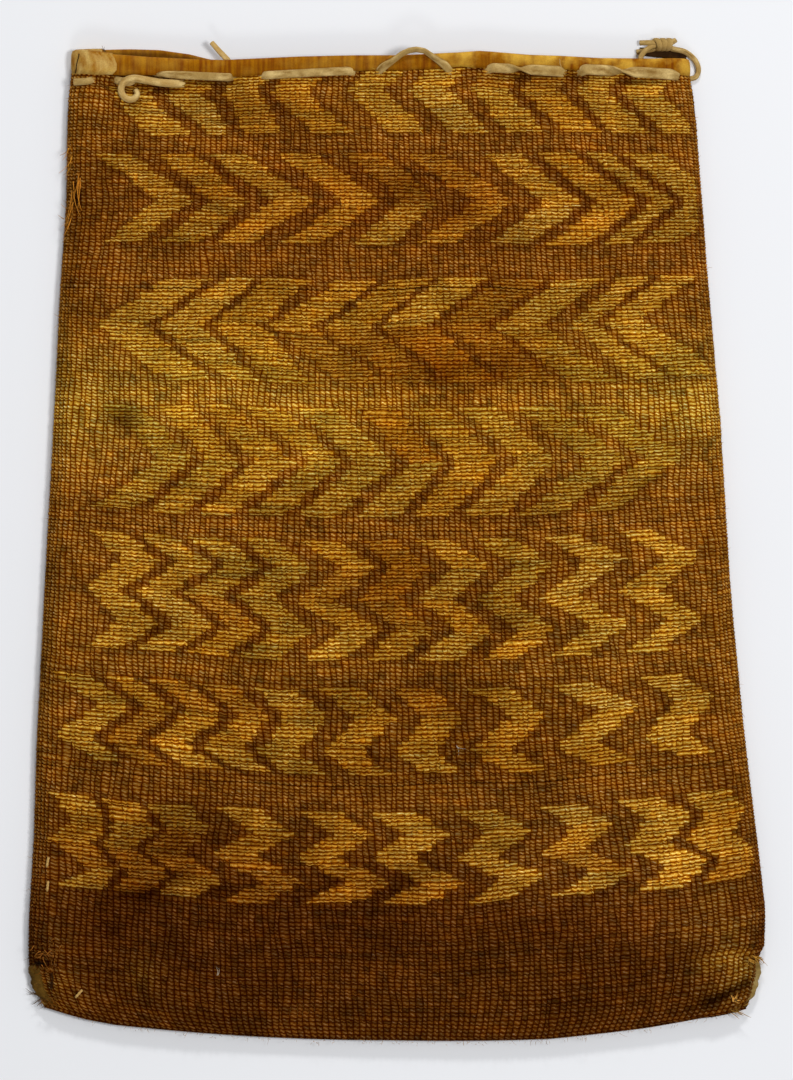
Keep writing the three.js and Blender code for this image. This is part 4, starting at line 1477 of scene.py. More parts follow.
@dataclass
class RimBinding:
    """The hide strip folded over the mouth edge, its end lapped over its start at the left corner."""

    section: Section
    half_thickness: float = 0.45
    steps: int = 640
    fold: Table = (
        (0.3, 1.0), (0.6, 0.72), (0.72, 0.4), (0.5, 0.08), (0.0, -0.1), (-1.1, -0.155), (-2.2, -0.1),
        (-2.85, 0.08), (-3.0, 0.4), (-2.95, 0.9),
    )
    depths: Table = (
        (-197, 13.0), (-172, 11.0), (-148, 9.5), (-118, 7.7), (-88, 8.8), (-58, 7.6), (-25, 7.2),
        (2, 7.4), (38, 7.2), (50, 8.2), (57, 8.0), (80, 5.8), (98, 6.0), (122, 6.2), (152, 6.8),
        (174, 8.7), (180, 9.0),
    )
    full_depth: float = 8.8
    edge_waves: Pair = (0.25, 16.0)
    face_waves: Pair = (0.22, 11.0)
    least_wave: float = 0.3
    run_point: int = 2
    gape: float = 1.1
    gape_at: float = -155.0
    gape_reach: float = 20.0
    lap_lift: float = 0.75
    lap_end_column: float = 4.7
    lap_start_column: float = -11.5
    lap_rounding: float = 0.9
    lap_steps: int = 60
    seam_steps: int = 24
    seam_sides: int = 6
    seam_radius: float = 0.3
    seam_wobble: Pair = (0.05, 9.0)

    def loops(self, s: Array, lift: float) -> Array:
        """Loops of the folded strip, up its outer face, over the fold, down inside and back.

        Args:
            s: column of each point of the fold's line, by step and by point.
            lift: how far the strip stands off from the binding's own place.

        Returns:
            Points by step and by place in the loop.
        """
        line = np.array(self.fold)
        s = np.broadcast_to(s, (len(s), len(line)))
        base, normals = self.section.place(s, 0.0, 0.0)
        x, y = base[..., 0], base[..., 1]
        depth = looked_up(self.depths, x) + ripple(x, y, self.edge_waves, 20)
        drop = line[:, 1] * np.where(line[:, 1] > 0.0, depth, self.full_depth)
        hanging = np.clip(line[:, 1], 0.0, 1.0) * (line[:, 0] > 0.0)
        out = line[:, 0] + hanging * (self.gape * hump(x, self.gape_at, self.gape_reach))
        out = out + ripple(x, y, self.face_waves, 21) * (self.least_wave + hanging)
        heading = np.gradient(np.stack([out, -drop], -1), axis=1)
        normal = unit(np.stack([heading[..., 1], -heading[..., 0]], -1))
        faces = []
        for offset in (lift + self.half_thickness, lift - self.half_thickness):
            away = out + normal[..., 0] * offset
            rise = -drop + normal[..., 1] * offset
            faces.append(base + normals * away[..., None] + np.array([0.0, 1.0, 0.0]) * rise[..., None])
        return np.concatenate([faces[0], faces[1][:, ::-1]], axis=1)

    def ring(self) -> Surface:
        """Make the strip all round the mouth.

        Returns:
            A closed ring.
        """
        s = np.linspace(0.0, self.section.columns, self.steps, endpoint=False)
        loops = self.loops(s[:, None], 0.0)
        line = loops[:, self.run_point]
        run = run_lengths(np.vstack([line, line[:1]]))
        return loop_grid(loops, run, ring=True)

    def lap(self) -> Surface:
        """Make the lapped end, its front edge rounded at the corners.

        Returns:
            A closed surface.
        """
        across = np.array(self.fold)[:, 1]
        end = self.lap_end_column - self.lap_rounding * np.clip(2.0 * across - 1.0, -1.0, 1.0) ** 4
        t = np.linspace(0.0, 1.0, self.lap_steps)[:, None]
        loops = self.loops(mix(self.lap_start_column, end[None, :], t), self.lap_lift)
        run = run_lengths(loops[:, self.run_point])
        return with_leaf_ends(loop_grid(loops, run), loops, run)

    def seam(self, column: float, lean: float, drops: Pair, lift: float) -> Surface:
        """A thread that lies on the strip's outer face, down from the fold.

        Args:
            column: column at its upper end.
            lean: columns that it moves by on its way down.
            drops: how far below the mouth edge it starts and ends.
            lift: height over the wall's smooth surface.

        Returns:
            A closed surface.
        """
        share = np.linspace(0.0, 1.0, self.seam_steps)
        sway, rate = self.seam_wobble
        base, normals = self.section.place(column + lean * share + sway * np.sin(rate * share), 0.0, 0.0)
        path = base + normals * lift
        path[:, 1] -= mix(*drops, share)
        return strap(path, normals, self.seam_radius, self.seam_radius, self.seam_sides, ROUND)

    def build(self, hide: Material, lap: Material, dark: Material, pale: Material) -> None:
        """Make the strip, its lap, the dark seam of the lap and a pale seam further along.

        Args:
            hide: finish of the strip.
            lap: finish of the lapped end.
            dark: finish of the lap's thread.
            pale: finish of the other thread.
        """
        place_piece(self.ring(), "rim_strip", hide, ("rim_binding",))
        place_piece(self.lap(), "rim_lap", lap, ("rim_binding",))
        place_piece(self.seam(-2.5, -0.9, (0.0, 11.8), 1.95), "lap_seam", dark)
        place_piece(self.seam(88.6, 0.3, (0.3, 5.2), 1.15), "strip_seam", pale)


# Thongs


@dataclass
class Lacing:
    """The hide thongs laced along the front and the back, just below the binding."""

    form: BagForm
    drop: float = 12.2
    half_width: float = 2.05
    flat_half_widths: Table = ((-186, 2.1), (-170, 2.5), (-140, 2.4), (40, 2.6), (90, 3.2), (180, 3.3))
    half_depth: float = 1.0
    back_half_depth: float = 0.65
    front_samples: int = 900
    back_samples: int = 700
    front_step: float = 0.7
    back_step: float = 0.9
    loop_narrowing: float = 0.8
    loop_full: float = 8.0
    loop_lift: float = 0.12
    upright_lift: float = 0.75
    dive: float = 4.4
    front_start: float = -193.4
    front_holes: Numbers = (4.3, 8.2, 12, 16, 29.5, 34.5, 51, 55.5, 68.5, 75, 88.9, 91.6, 109)
    front_tail: float = 1.4
    front_levels: Pair = (12.61, 17.5)
    front_line: Table = (
        (-193, -2.6), (-183, -2.4), (-169, -2.8), (-160, -3.4), (-155, -2.6), (-141, 0.8), (-97, -1.9),
        (-81, -0.8), (-26, 1.8), (-10, 2.2), (33, 2.8), (54, 4.0), (98, 2.2), (114, 3.6), (165, 1.7),
    )
    loop: Table = (
        (-10.7, 0.0), (-3.0, 4.6), (3.6, 9.4), (8.0, 11.3), (12.0, 11.9), (17.0, 11.0), (22.0, 7.6),
        (32.7, 0.0),
    )
    roll: Table = (
        (-152, 0), (-142, 65), (-128, 0), (-12, 0), (-2, 46), (20, 50), (31, 0), (66, 0), (82, 180),
        (127, 180), (144, 360), (170, 360),
    )
    edge_drop: float = 2.4
    edge_run: float = 10.0
    back_holes: Numbers = (106.5, 94.5, 88.5, 70.5, 64, 46, 40, 22, 16)
    back_start: float = 175.0
    back_levels: Pair = (5.56, 0.96)

    def hole_x(self, warps: Numbers) -> Array:
        """Return the X of the holes at the given warps along the mouth."""
        left = self.form.mouth_shift - self.form.mouth_width / 2.0
        return left + np.array(warps) * self.form.mouth_width / CHART_WARPS

    def outside(self, x: Array, holes: Array) -> Array:
        """Return 1 where the thong lies on the wall and 0 inside it, turning smoothly at each hole."""
        signs = np.where(np.arange(len(holes)) % 2 == 0, -1.0, 1.0)
        return 1.0 + np.sum(signs * smoothstep(x[:, None] - holes, -self.dive, self.dive), axis=1)

    def front(self) -> Surface:
        """Make the front thong, with a slack loop over the rim and two half turns in its last stitches.

        Returns:
            A closed surface.
        """
        holes = self.hole_x(self.front_holes)
        x = np.linspace(self.front_start, holes[-1] + self.front_tail, self.front_samples)
        out = self.outside(x, holes)
        loop = looked_up(self.loop, x)
        y = self.form.row_y(np.zeros_like(x), x) - self.drop + looked_up(self.front_line, x) * out + loop
        roll = looked_up(self.roll, x)
        edge = 1.0 - smoothstep(x - self.front_start, 0.0, self.edge_run)
        width = mix(self.half_width, looked_up(self.flat_half_widths, x), np.maximum(out, edge))
        width = width * mix(1.0, self.loop_narrowing, smoothstep(loop, 0.0, self.loop_full))
        upright = np.abs(np.sin(np.radians(roll)))
        z = mix(*self.front_levels, out) - self.edge_drop * edge
        z = z + upright * (width - self.half_depth) * self.upright_lift + self.loop_lift * loop
        path = respaced(np.stack([x, y, z], -1), self.front_step)
        width = np.interp(path[:, 0], x, width)
        roll = np.interp(path[:, 0], x, roll)
        return strap(path, rolled(path, roll), width, self.half_depth)

    def back(self) -> Surface:
        """Make the back thong, laced plainly.

        Returns:
            A closed surface.
        """
        holes = self.hole_x(self.back_holes)
        x = np.linspace(self.back_start, holes[-1], self.back_samples)
        out = self.outside(-x, -holes)
        y = self.form.row_y(np.zeros_like(x), x) - self.drop
        z = mix(*self.back_levels, out)
        path = respaced(np.stack([x, y, z], -1), self.back_step)
        return strap(path, rolled(path), self.half_width, self.back_half_depth)

    def build(self, thong: Material) -> None:
        """Make the two thongs."""
        place_piece(self.front(), "front_lacing", thong, ("front_thong",))
        place_piece(self.back(), "back_lacing", thong, ("back_thong",))


@dataclass
class ThongEnds:
    """The curled end on the front, the end that stands out of the mouth, and the knot."""

    form: BagForm
    curl_at: Pair = (-128.55, 271.8)
    front_in: float = 12.61
    on_front: float = 17.92
    over_stitch: float = 19.11
    curl_width: float = 5.0
    curl_depth: float = 4.0
    upright_at: float = -91.81
    under_rim: float = 10.7
    knot_at: Triple = (160.2, 296.1, 4.2)
    mid: float = 9.09
    knot_radius: float = 2.9
    turn_spacing: float = 3.1
    turn_lean: float = 1.5
    turn_phase: float = 0.5
    turn_halves: Pair = (1.8, 1.2)
    turn_steps: int = 40
    strand_halves: Pair = (1.75, 1.15)
    strand_taper: float = 0.9
    strand_roll: Pair = (30.0, 5.0)
    under_halves: Pair = (2.4, 0.8)
    upright_widths: Pair = (2.4, 1.6)
    upright_depths: Pair = (1.1, 0.9)
    upright_roll: float = 25.0
    curl_taper: Pair = (1.06, 0.78)
    curl_thinning: float = 0.9
    curl_roll: Pair = (14.0, 6.0)
    curl_sides: int = 14
    tip_start: float = 0.9
    tip_taper: float = 0.8
    squareness: float = 2.4
    step: float = 0.7
    coarse_step: float = 0.8

    def curl_route(self) -> Array:
        """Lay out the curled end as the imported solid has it.

        Returns:
            Points from inside the wall to the tip.
        """
        x, y = self.curl_at
        inside, on, over = self.front_in, self.on_front, self.over_stitch
        offsets = np.array([
            (7.1, -0.2, inside), (3.6, -0.1, inside), (-0.4, 0.0, 0.5 * (inside + on)), (-4.4, 0.0, on),
            (-13.0, 0.6, on + 0.5), (-22.0, 2.1, over), (-29.2, 3.0, over), (-34.0, 1.2, over),
            (-36.1, -2.4, over), (-35.5, -6.6, on + 0.6), (-32.2, -9.3, on + 0.2), (-28.6, -9.0, on + 0.1),
            (-26.5, -6.3, on + 0.1), (-27.7, -3.6, on + 0.1),
        ])
        return offsets + np.array([x, y, 0.0])

    def curl(self, material: Material) -> None:
        """Make the curled end, a free cord of its own length.

        Args:
            material: its finish.
        """
        path = smooth_route(self.curl_route(), self.step)
        run = run_lengths(path)
        share = run / run[-1]
        tip = mix(1.0, self.tip_taper, smoothstep(share, self.tip_start, 1.0))
        width = 0.5 * self.curl_width * mix(*self.curl_taper, share) * tip
        depth = 0.5 * self.curl_depth * mix(1.0, self.curl_thinning, share)
        swing, rate = self.curl_roll
        facing = rolled(path, swing * np.sin(rate * share))
        surface = strap(path, facing, width, depth, self.curl_sides, ROUND)
        piece = place_piece(surface, "curled_end", material, ("curl_tail",))

    def upright(self, material: Material) -> None:
        """Make the tapered end that stands out of the mouth.

        Args:
            material: its finish.
        """
        level = self.under_rim
        offsets = np.array([
            (0.0, -19.6, level), (-5.8, -8.6, level), (-8.8, -2.1, level), (-14.2, 4.0, level + 0.4),
            (-19.0, 9.4, level + 0.8),
        ])
        at = np.array([self.upright_at, self.form.mouth_y, 0.0])
        path = smooth_route(offsets + at, self.coarse_step)
        run = run_lengths(path)
        share = run / run[-1]
        width, depth = mix(*self.upright_widths, share), mix(*self.upright_depths, share)
        facing = rolled(path, self.upright_roll * share)
        surface = strap(path, facing, width, depth, squareness=self.squareness)
        place_piece(surface, "upright_end", material, ("upright_tail",))

    def knot(self, material: Material) -> None:
        """Make the knot: its two arms, its three short ends and three turns round them.

        Args:
            material: its finish.
        """
        kx, ky, kz = self.knot_at
        mid = self.mid - kz
        strands = (
            ((7.3, -20.1, mid - 0.5), (-2.2, -18.6, mid - 0.3), (-10.8, -14.7, mid - 0.8),
             (-13.2, -8.7, mid - 1.3), (-10.4, -3.9, 2.0), (-6.2, -1.1, 0.6), (0.0, 0.0, 0.0)),
            ((0.0, 0.0, 0.0), (6.3, -2.5, -0.6), (13.8, -4.3, -1.4), (19.8, -9.5, -1.6),
             (21.8, -15.1, -2.0), (20.2, -19.3, -2.6), (16.8, -20.4, -2.6)),
            ((0.0, 0.6, 0.8), (-6.6, 1.1, 0.4), (-13.6, 1.1, -0.8)),
            ((0.0, -1.0, -0.6), (-7.8, -3.1, -1.8), (-15.4, -4.3, -2.4)),
            ((0.0, 0.0, 0.8), (4.8, 0.9, 0.4), (8.2, 2.9, -0.2)),
        )
        parts = []
        for strand in strands:
            path = smooth_route(np.array(strand) + np.array(self.knot_at), self.step)
            share = np.linspace(0.0, 1.0, len(path))
            width, depth = self.strand_halves
            width = width * mix(1.0, self.strand_taper, share)
            swing, rate = self.strand_roll
            facing = rolled(path, swing * np.sin(rate * share))
            parts.append(strap(path, facing, width, depth, squareness=self.squareness))
        for side in (-1.0, 0.0, 1.0):
            turn = np.linspace(0.0, 2.0 * np.pi, self.turn_steps)
            lean = self.turn_lean * np.sin(turn + self.turn_phase * side)
            path = np.stack([
                kx + side * self.turn_spacing + lean, ky + self.knot_radius * np.cos(turn),
                kz + self.knot_radius * np.sin(turn),
            ], -1)
            outward = np.stack([np.zeros_like(turn), np.cos(turn), np.sin(turn)], -1)
            parts.append(strap(path, outward, *self.turn_halves, squareness=self.squareness))
        place_piece(joined(parts), "knot", material, ("thong_knot",))

    def under_strand(self, material: Material) -> None:
        """Make the strand that runs under the knot, along the rim, dark as painted shade.

        Args:
            material: its finish.
        """
        offsets = np.array([
            (-13.5, -3.8, -2.9), (-6.0, -4.8, -3.0), (2.0, -5.6, -3.0), (9.0, -6.0, -3.0),
            (14.5, -7.2, -3.1),
        ])
        path = smooth_route(offsets + np.array(self.knot_at), self.coarse_step)
        surface = strap(path, rolled(path), *self.under_halves)
        place_piece(surface, "knot_under_strand", material, ("thong_knot",))

    def build(self, pale: Material, thong: Material, dark: Material) -> None:
        """Make them all.

        Args:
            pale: finish of the two loose ends.
            thong: finish of the knot.
            dark: finish of the strand under it, dark as painted shade.
        """
        self.curl(pale)
        self.upright(pale)
        self.knot(thong)
        # The strand under the knot is dark as painted shade.
        self.under_strand(dark)


# Worn corners, stitches and frayed fibres


@dataclass(frozen=True)
class CornerPatch:
    """The hide that shows where the weave is worn off a base corner."""

    name: str
    node: str
    section: Section
    start: int
    shares: Pair
    heights: Pair = (-256.5, -283.0)
    grid: tuple[int, int] = (26, 34)
    borders: Pair = (0.22, 0.2)
    broad_crumple: Pair = (0.45, 7.0)
    fine_crumple: Pair = (0.25, 3.5)
    stand_off: float = 0.7
    sunk: float = -0.9
    thickness: float = 1.1
    creases: tuple[Crease, ...] = CREASES

    def surface(self) -> Surface:
        """Make a crumpled leaf round the corner, high in its middle and sunk under the weave at its border.

        It goes from column start + shares[0] sides to start + shares[1] sides.

        Returns:
            A closed surface.
        """
        form = self.section.form
        edge = -form.base_width / 2.0
        v = form.v_at(np.full(2, edge), np.array(self.heights))
        across = np.linspace(0.0, 1.0, self.grid[0])[None, :]
        down = np.linspace(0.0, 1.0, self.grid[1])[:, None]
        s = self.start + self.section.side_columns * mix(*self.shares, across)
        points, normals = self.section.place(s, mix(*v, down), 0.0)
        x, y, z = np.moveaxis(points, -1, 0)
        border = smoothstep(np.minimum(across, 1.0 - across), 0.0, self.borders[0])
        border = border * smoothstep(np.minimum(down, 1.0 - down), 0.0, self.borders[1])
        crumple = ripple(x + z, y, self.broad_crumple, 30) + ripple(x, y + z, self.fine_crumple, 31)
        lift = mix(self.sunk, self.stand_off, border) + crumple * border
        sunk = sum(crease.sinking(x, y) for crease in self.creases)
        lift = lift - sunk * np.maximum(normals[..., 2], 0.0)
        outer = points + normals * lift[..., None]
        inner = points + normals * (lift - self.thickness)[..., None]
        loops = np.concatenate([outer, inner[:, ::-1]], axis=1)
        run = np.linspace(0.0, abs(self.heights[1] - self.heights[0]), len(loops))
        return with_leaf_ends(loop_grid(loops, run), loops, run)

    def build(self, material: Material) -> None:
        """Make the patch."""
        place_piece(self.surface(), self.name, material, (self.node,))


@dataclass(frozen=True)
class ShortStitch:
    """A short pale stitch of cord that dips into the weave at both ends."""

    name: str
    node: str
    tilt: float
    half_length: float = 2.7
    radius: float = 0.75
    steps: int = 25
    sides: int = 10
    dive: float = 1.1
    girth_wave: Pair = (0.12, 9.0)

    def build(self, material: Material) -> None:
        """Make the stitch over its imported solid.

        Args:
            material: its finish.
        """
        low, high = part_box(self.node)
        middle = 0.5 * (np.array(low) + np.array(high)) / MM
        t = np.linspace(-1.0, 1.0, self.steps)
        angle = math.radians(self.tilt)
        run = self.half_length * t
        top = high.z / MM - self.radius
        path = np.stack([
            middle[0] + run * math.cos(angle),
            middle[1] + run * math.sin(angle),
            top - self.dive * t**4,
        ], -1)
        wave, rate = self.girth_wave
        girth = self.radius * (1.0 + wave * np.sin(rate * t))
        surface = strap(path, rolled(path), girth, girth, self.sides, ROUND)
        place_piece(surface, self.name, material, (self.node,))


@dataclass(frozen=True)
class Tuft:
    """Loose fibres that spring from one place."""

    place: Triple
    spread: Triple
    count: int
    heading: float
    fan: float
    length: float
    radius: float
    colour: Numbers
    curl: float = 0.5
    climbs: Pair = (-0.15, 0.25)
    aside_climb: float = 0.2
    lengths: Pair = (0.45, 1.25)
    girths: Pair = (0.6, 1.2)
    taper: float = 0.75
    shades: Pair = (0.6, 1.35)
    lowest: float = 0.5

    def fibres(self, rng: np.random.Generator) -> tuple[Array, Array, Array]:
        """Routes, radii and colours of the fibres.

        Each fibre starts near the place, heads its own way and bends evenly:
        p(t) = p + length (t h + curl t^2 n).

        Args:
            rng: gives each fibre's start, heading, length and bend.

        Returns:
            Points by fibre and step, radii by fibre and step, and a colour for each fibre.
        """
        t = np.linspace(0.0, 1.0, FIBRE_STEPS)
        start = np.array(self.place) + rng.normal(0.0, 1.0, (self.count, 3)) * np.array(self.spread)
        angle = np.radians(self.heading + self.fan * rng.uniform(-1.0, 1.0, self.count))
        climb = rng.uniform(*self.climbs, self.count)
        heading = np.stack([np.cos(angle), np.sin(angle), climb], -1)
        aside = np.stack([-np.sin(angle), np.cos(angle), self.aside_climb * climb], -1)
        length = self.length * rng.uniform(*self.lengths, self.count)
        bend = self.curl * rng.normal(0.0, 1.0, self.count)
        run = length[:, None, None] * t[None, :, None]
        bent = (bend[:, None] * t)[..., None] * aside[:, None, :]
        paths = start[:, None, :] + run * (heading[:, None, :] + bent)
        paths[..., 2] = np.maximum(paths[..., 2], self.lowest)
        radii = self.radius * rng.uniform(*self.girths, self.count)[:, None] * (1.0 - self.taper * t)
        colours = linear(self.colour) * rng.uniform(*self.shades, (self.count, 1))
        return paths, radii, colours


@dataclass
class FrayedFibres:
    """Broken fibres at the worn left edge and base corners, dark fibres as painted shade at the left base
    corner, and fuzz along the edges.
    """

    section: Section
    tufts: tuple[Tuft, ...] = (
        Tuft((-195, 226, 11), (1.0, 5, 1.5), 14, 265, 25, 9, 0.42, (206, 140, 44)),
        Tuft((-193.5, 208, 13), (1.2, 7, 1), 16, 268, 18, 15, 0.5, (198, 128, 40), 0.25),
        Tuft((-189.5, 214, 15.5), (0.6, 2, 0.4), 5, 266, 10, 22, 0.55, (204, 130, 40), 0.15),
        Tuft((-196, 196, 9), (1.0, 12, 2), 24, 200, 70, 4, 0.3, (196, 136, 50)),
        Tuft((-212, -257, 10), (3, 1, 1.5), 22, 265, 60, 3.5, 0.3, (132, 80, 28)),
        Tuft((-207, -259, 13.5), (3, 1.5, 0.8), 26, 280, 70, 4, 0.32, (128, 74, 22)),
        Tuft((-214, -275, 4), (1.5, 2.5, 1), 16, 225, 40, 5, 0.34, (92, 62, 22)),
        Tuft((-208, -279, 9), (2.4, 2, 0.6), 26, 250, 60, 3.5, 0.3, (120, 74, 24)),
        # The next two tufts are dark fibres laid as painted shade: in the gap and along the fold at the
        # left base corner.
        Tuft((-210, -256, 13.4), (2.4, 0.5, 0.5), 22, 182, 22, 3.4, 0.4, (34, 20, 8), 0.2),
        Tuft((-206, -265, 15.2), (0.4, 3, 0.3), 16, 268, 12, 6, 0.36, (52, 28, 10), 0.2),
        Tuft((212, -252, 12), (2, 1.6, 1), 30, 315, 45, 5, 0.45, (186, 134, 52)),
        Tuft((215, -252, 8), (1.2, 1.2, 0.8), 9, 325, 24, 7.5, 0.5, (160, 116, 50), 0.3),
        Tuft((200, -283.5, 7), (3, 0.8, 0.8), 26, 350, 24, 8, 0.4, (158, 116, 46), 0.3),
        Tuft((203, -278, 11.4), (0.9, 0.7, 0.3), 10, 30, 50, 2.4, 0.55, (206, 150, 70), 0.8),
        Tuft((-208, -246, 17), (3.2, 5, 0.5), 46, 240, 80, 3.6, 0.42, (150, 92, 34), 0.8),
        Tuft((-174.6, 290.6, 13), (0.8, 0.4, 0.3), 5, 120, 16, 5, 0.4, (96, 72, 36), 0.2),
        Tuft((-107.4, -263, 18.4), (0.3, 0.3, 0.1), 2, 60, 20, 4, 0.22, (226, 214, 190), 0.5),
        Tuft((36.6, -125, 18.8), (0.3, 0.3, 0.1), 2, 290, 30, 5, 0.22, (230, 220, 200), 0.6),
    )
    fuzz_count: int = 620
    fuzz_length: float = 1.6
    fuzz_radius: float = 0.13
    fuzz_colour: Numbers = (172, 122, 52)
    fuzz_sides: Pair = (0.2, 0.8)
    fuzz_heights: Pair = (0.03, 0.99)
    fuzz_base: float = 0.004
    fuzz_turns: Pair = (0.3, 0.9)
    fuzz_stray: float = 0.6
    fuzz_bend: float = 0.5
    fuzz_lengths: Pair = (0.3, 1.3)
    fuzz_girths: Pair = (0.7, 1.4)
    fuzz_taper: float = 0.7
    fuzz_shades: Pair = (0.5, 1.4)
    fuzz_lowest: float = 0.3

    def fuzz(self, rng: np.random.Generator) -> tuple[Array, Array, Array]:
        """Short fine fibres all along the two side edges and the base.

        Args:
            rng: gives each fibre's place, heading and length.

        Returns:
            Points by fibre and step, radii by fibre and step, and a colour for each fibre.
        """
        section, count = self.section, self.fuzz_count
        right_side = section.front_columns + section.side_columns * rng.uniform(*self.fuzz_sides, count)
        left_side = section.columns - section.side_columns * rng.uniform(*self.fuzz_sides, count)
        anywhere = rng.uniform(0.0, section.front_columns, count)
        which = rng.integers(0, 3, count)
        s = np.choose(which, [left_side, right_side, anywhere])
        by_base = 1.0 - self.fuzz_base * rng.random(count)
        v = np.where(which == 2, by_base, rng.uniform(*self.fuzz_heights, count))
        fold = np.where(which == 2, rng.uniform(*self.fuzz_turns, count), 0.0)
        start, normals = section.place(s, v, fold)
        aside = rng.normal(0.0, self.fuzz_stray, (count, 3))
        heading = unit(normals + aside)
        t = np.linspace(0.0, 1.0, FIBRE_STEPS)
        length = self.fuzz_length * rng.uniform(*self.fuzz_lengths, count)[:, None, None]
        bend = rng.normal(0.0, self.fuzz_bend, (count, 1, 3)) * (t**2)[None, :, None]
        paths = start[:, None, :] + length * (heading[:, None, :] * t[None, :, None] + bend)
        paths[..., 2] = np.maximum(paths[..., 2], self.fuzz_lowest)
        tapered = self.fuzz_radius * (1.0 - self.fuzz_taper * t)[None, :]
        radii = tapered * rng.uniform(*self.fuzz_girths, (count, 1))
        return paths, radii, linear(self.fuzz_colour) * rng.uniform(*self.fuzz_shades, (count, 1))

    @staticmethod
    def surface(paths: Array, radii: Array, colours: Array) -> Surface:
        """Three-sided tubes along all routes at once, closed at both ends.

        Args:
            paths: points by fibre and step.
            radii: radii by fibre and step.
            colours: a colour for each fibre.

        Returns:
            One surface of separate fibres.
        """
        (count, steps), sides = radii.shape, FIBRE_SIDES
        along = unit(np.gradient(paths, axis=1))
        side = unit(np.cross(along, np.array(FIBRE_UP)))
        normal = np.cross(side, along)
        turn = 2.0 * np.pi * np.arange(sides) / sides
        ring = np.cos(turn)[:, None] * side[:, :, None, :]
        ring = ring + np.sin(turn)[:, None] * normal[:, :, None, :]
        points = paths[:, :, None, :] + radii[:, :, None, None] * ring
        f, i, j = np.meshgrid(np.arange(count), np.arange(steps - 1), np.arange(sides), indexing="ij")
        base = (f * steps + i) * sides
        after, beside = base + sides, (j + 1) % sides
        quads = np.stack([base + j, after + j, after + beside, base + beside], -1).reshape(-1, 4)
        first = np.arange(count)[:, None] * steps * sides
        last = first + sides * (steps - 1)
        caps = np.concatenate([first + np.arange(sides), last + np.arange(sides)[::-1]])
        shades = np.repeat(colours, steps * sides, axis=0)
        return Surface(points.reshape(-1, 3), quads, caps, colours=shades)

    def build(self, material: Material) -> None:
        """Make all tufts and the fuzz as one piece.

        Args:
            material: its finish.
        """
        rng = np.random.default_rng(SEED + 40)
        parts = [self.surface(*tuft.fibres(rng)) for tuft in self.tufts]
        parts.append(self.surface(*self.fuzz(rng)))
        place_piece(joined(parts), "frayed_fibres", material)


# Finishes


def socket_colour(colour: Numbers) -> tuple[float, float, float, float]:
    """Return a colour in 8-bit screen values as a socket's linear colour."""
    red, green, blue = linear(colour)
    return float(red), float(green), float(blue), 1.0


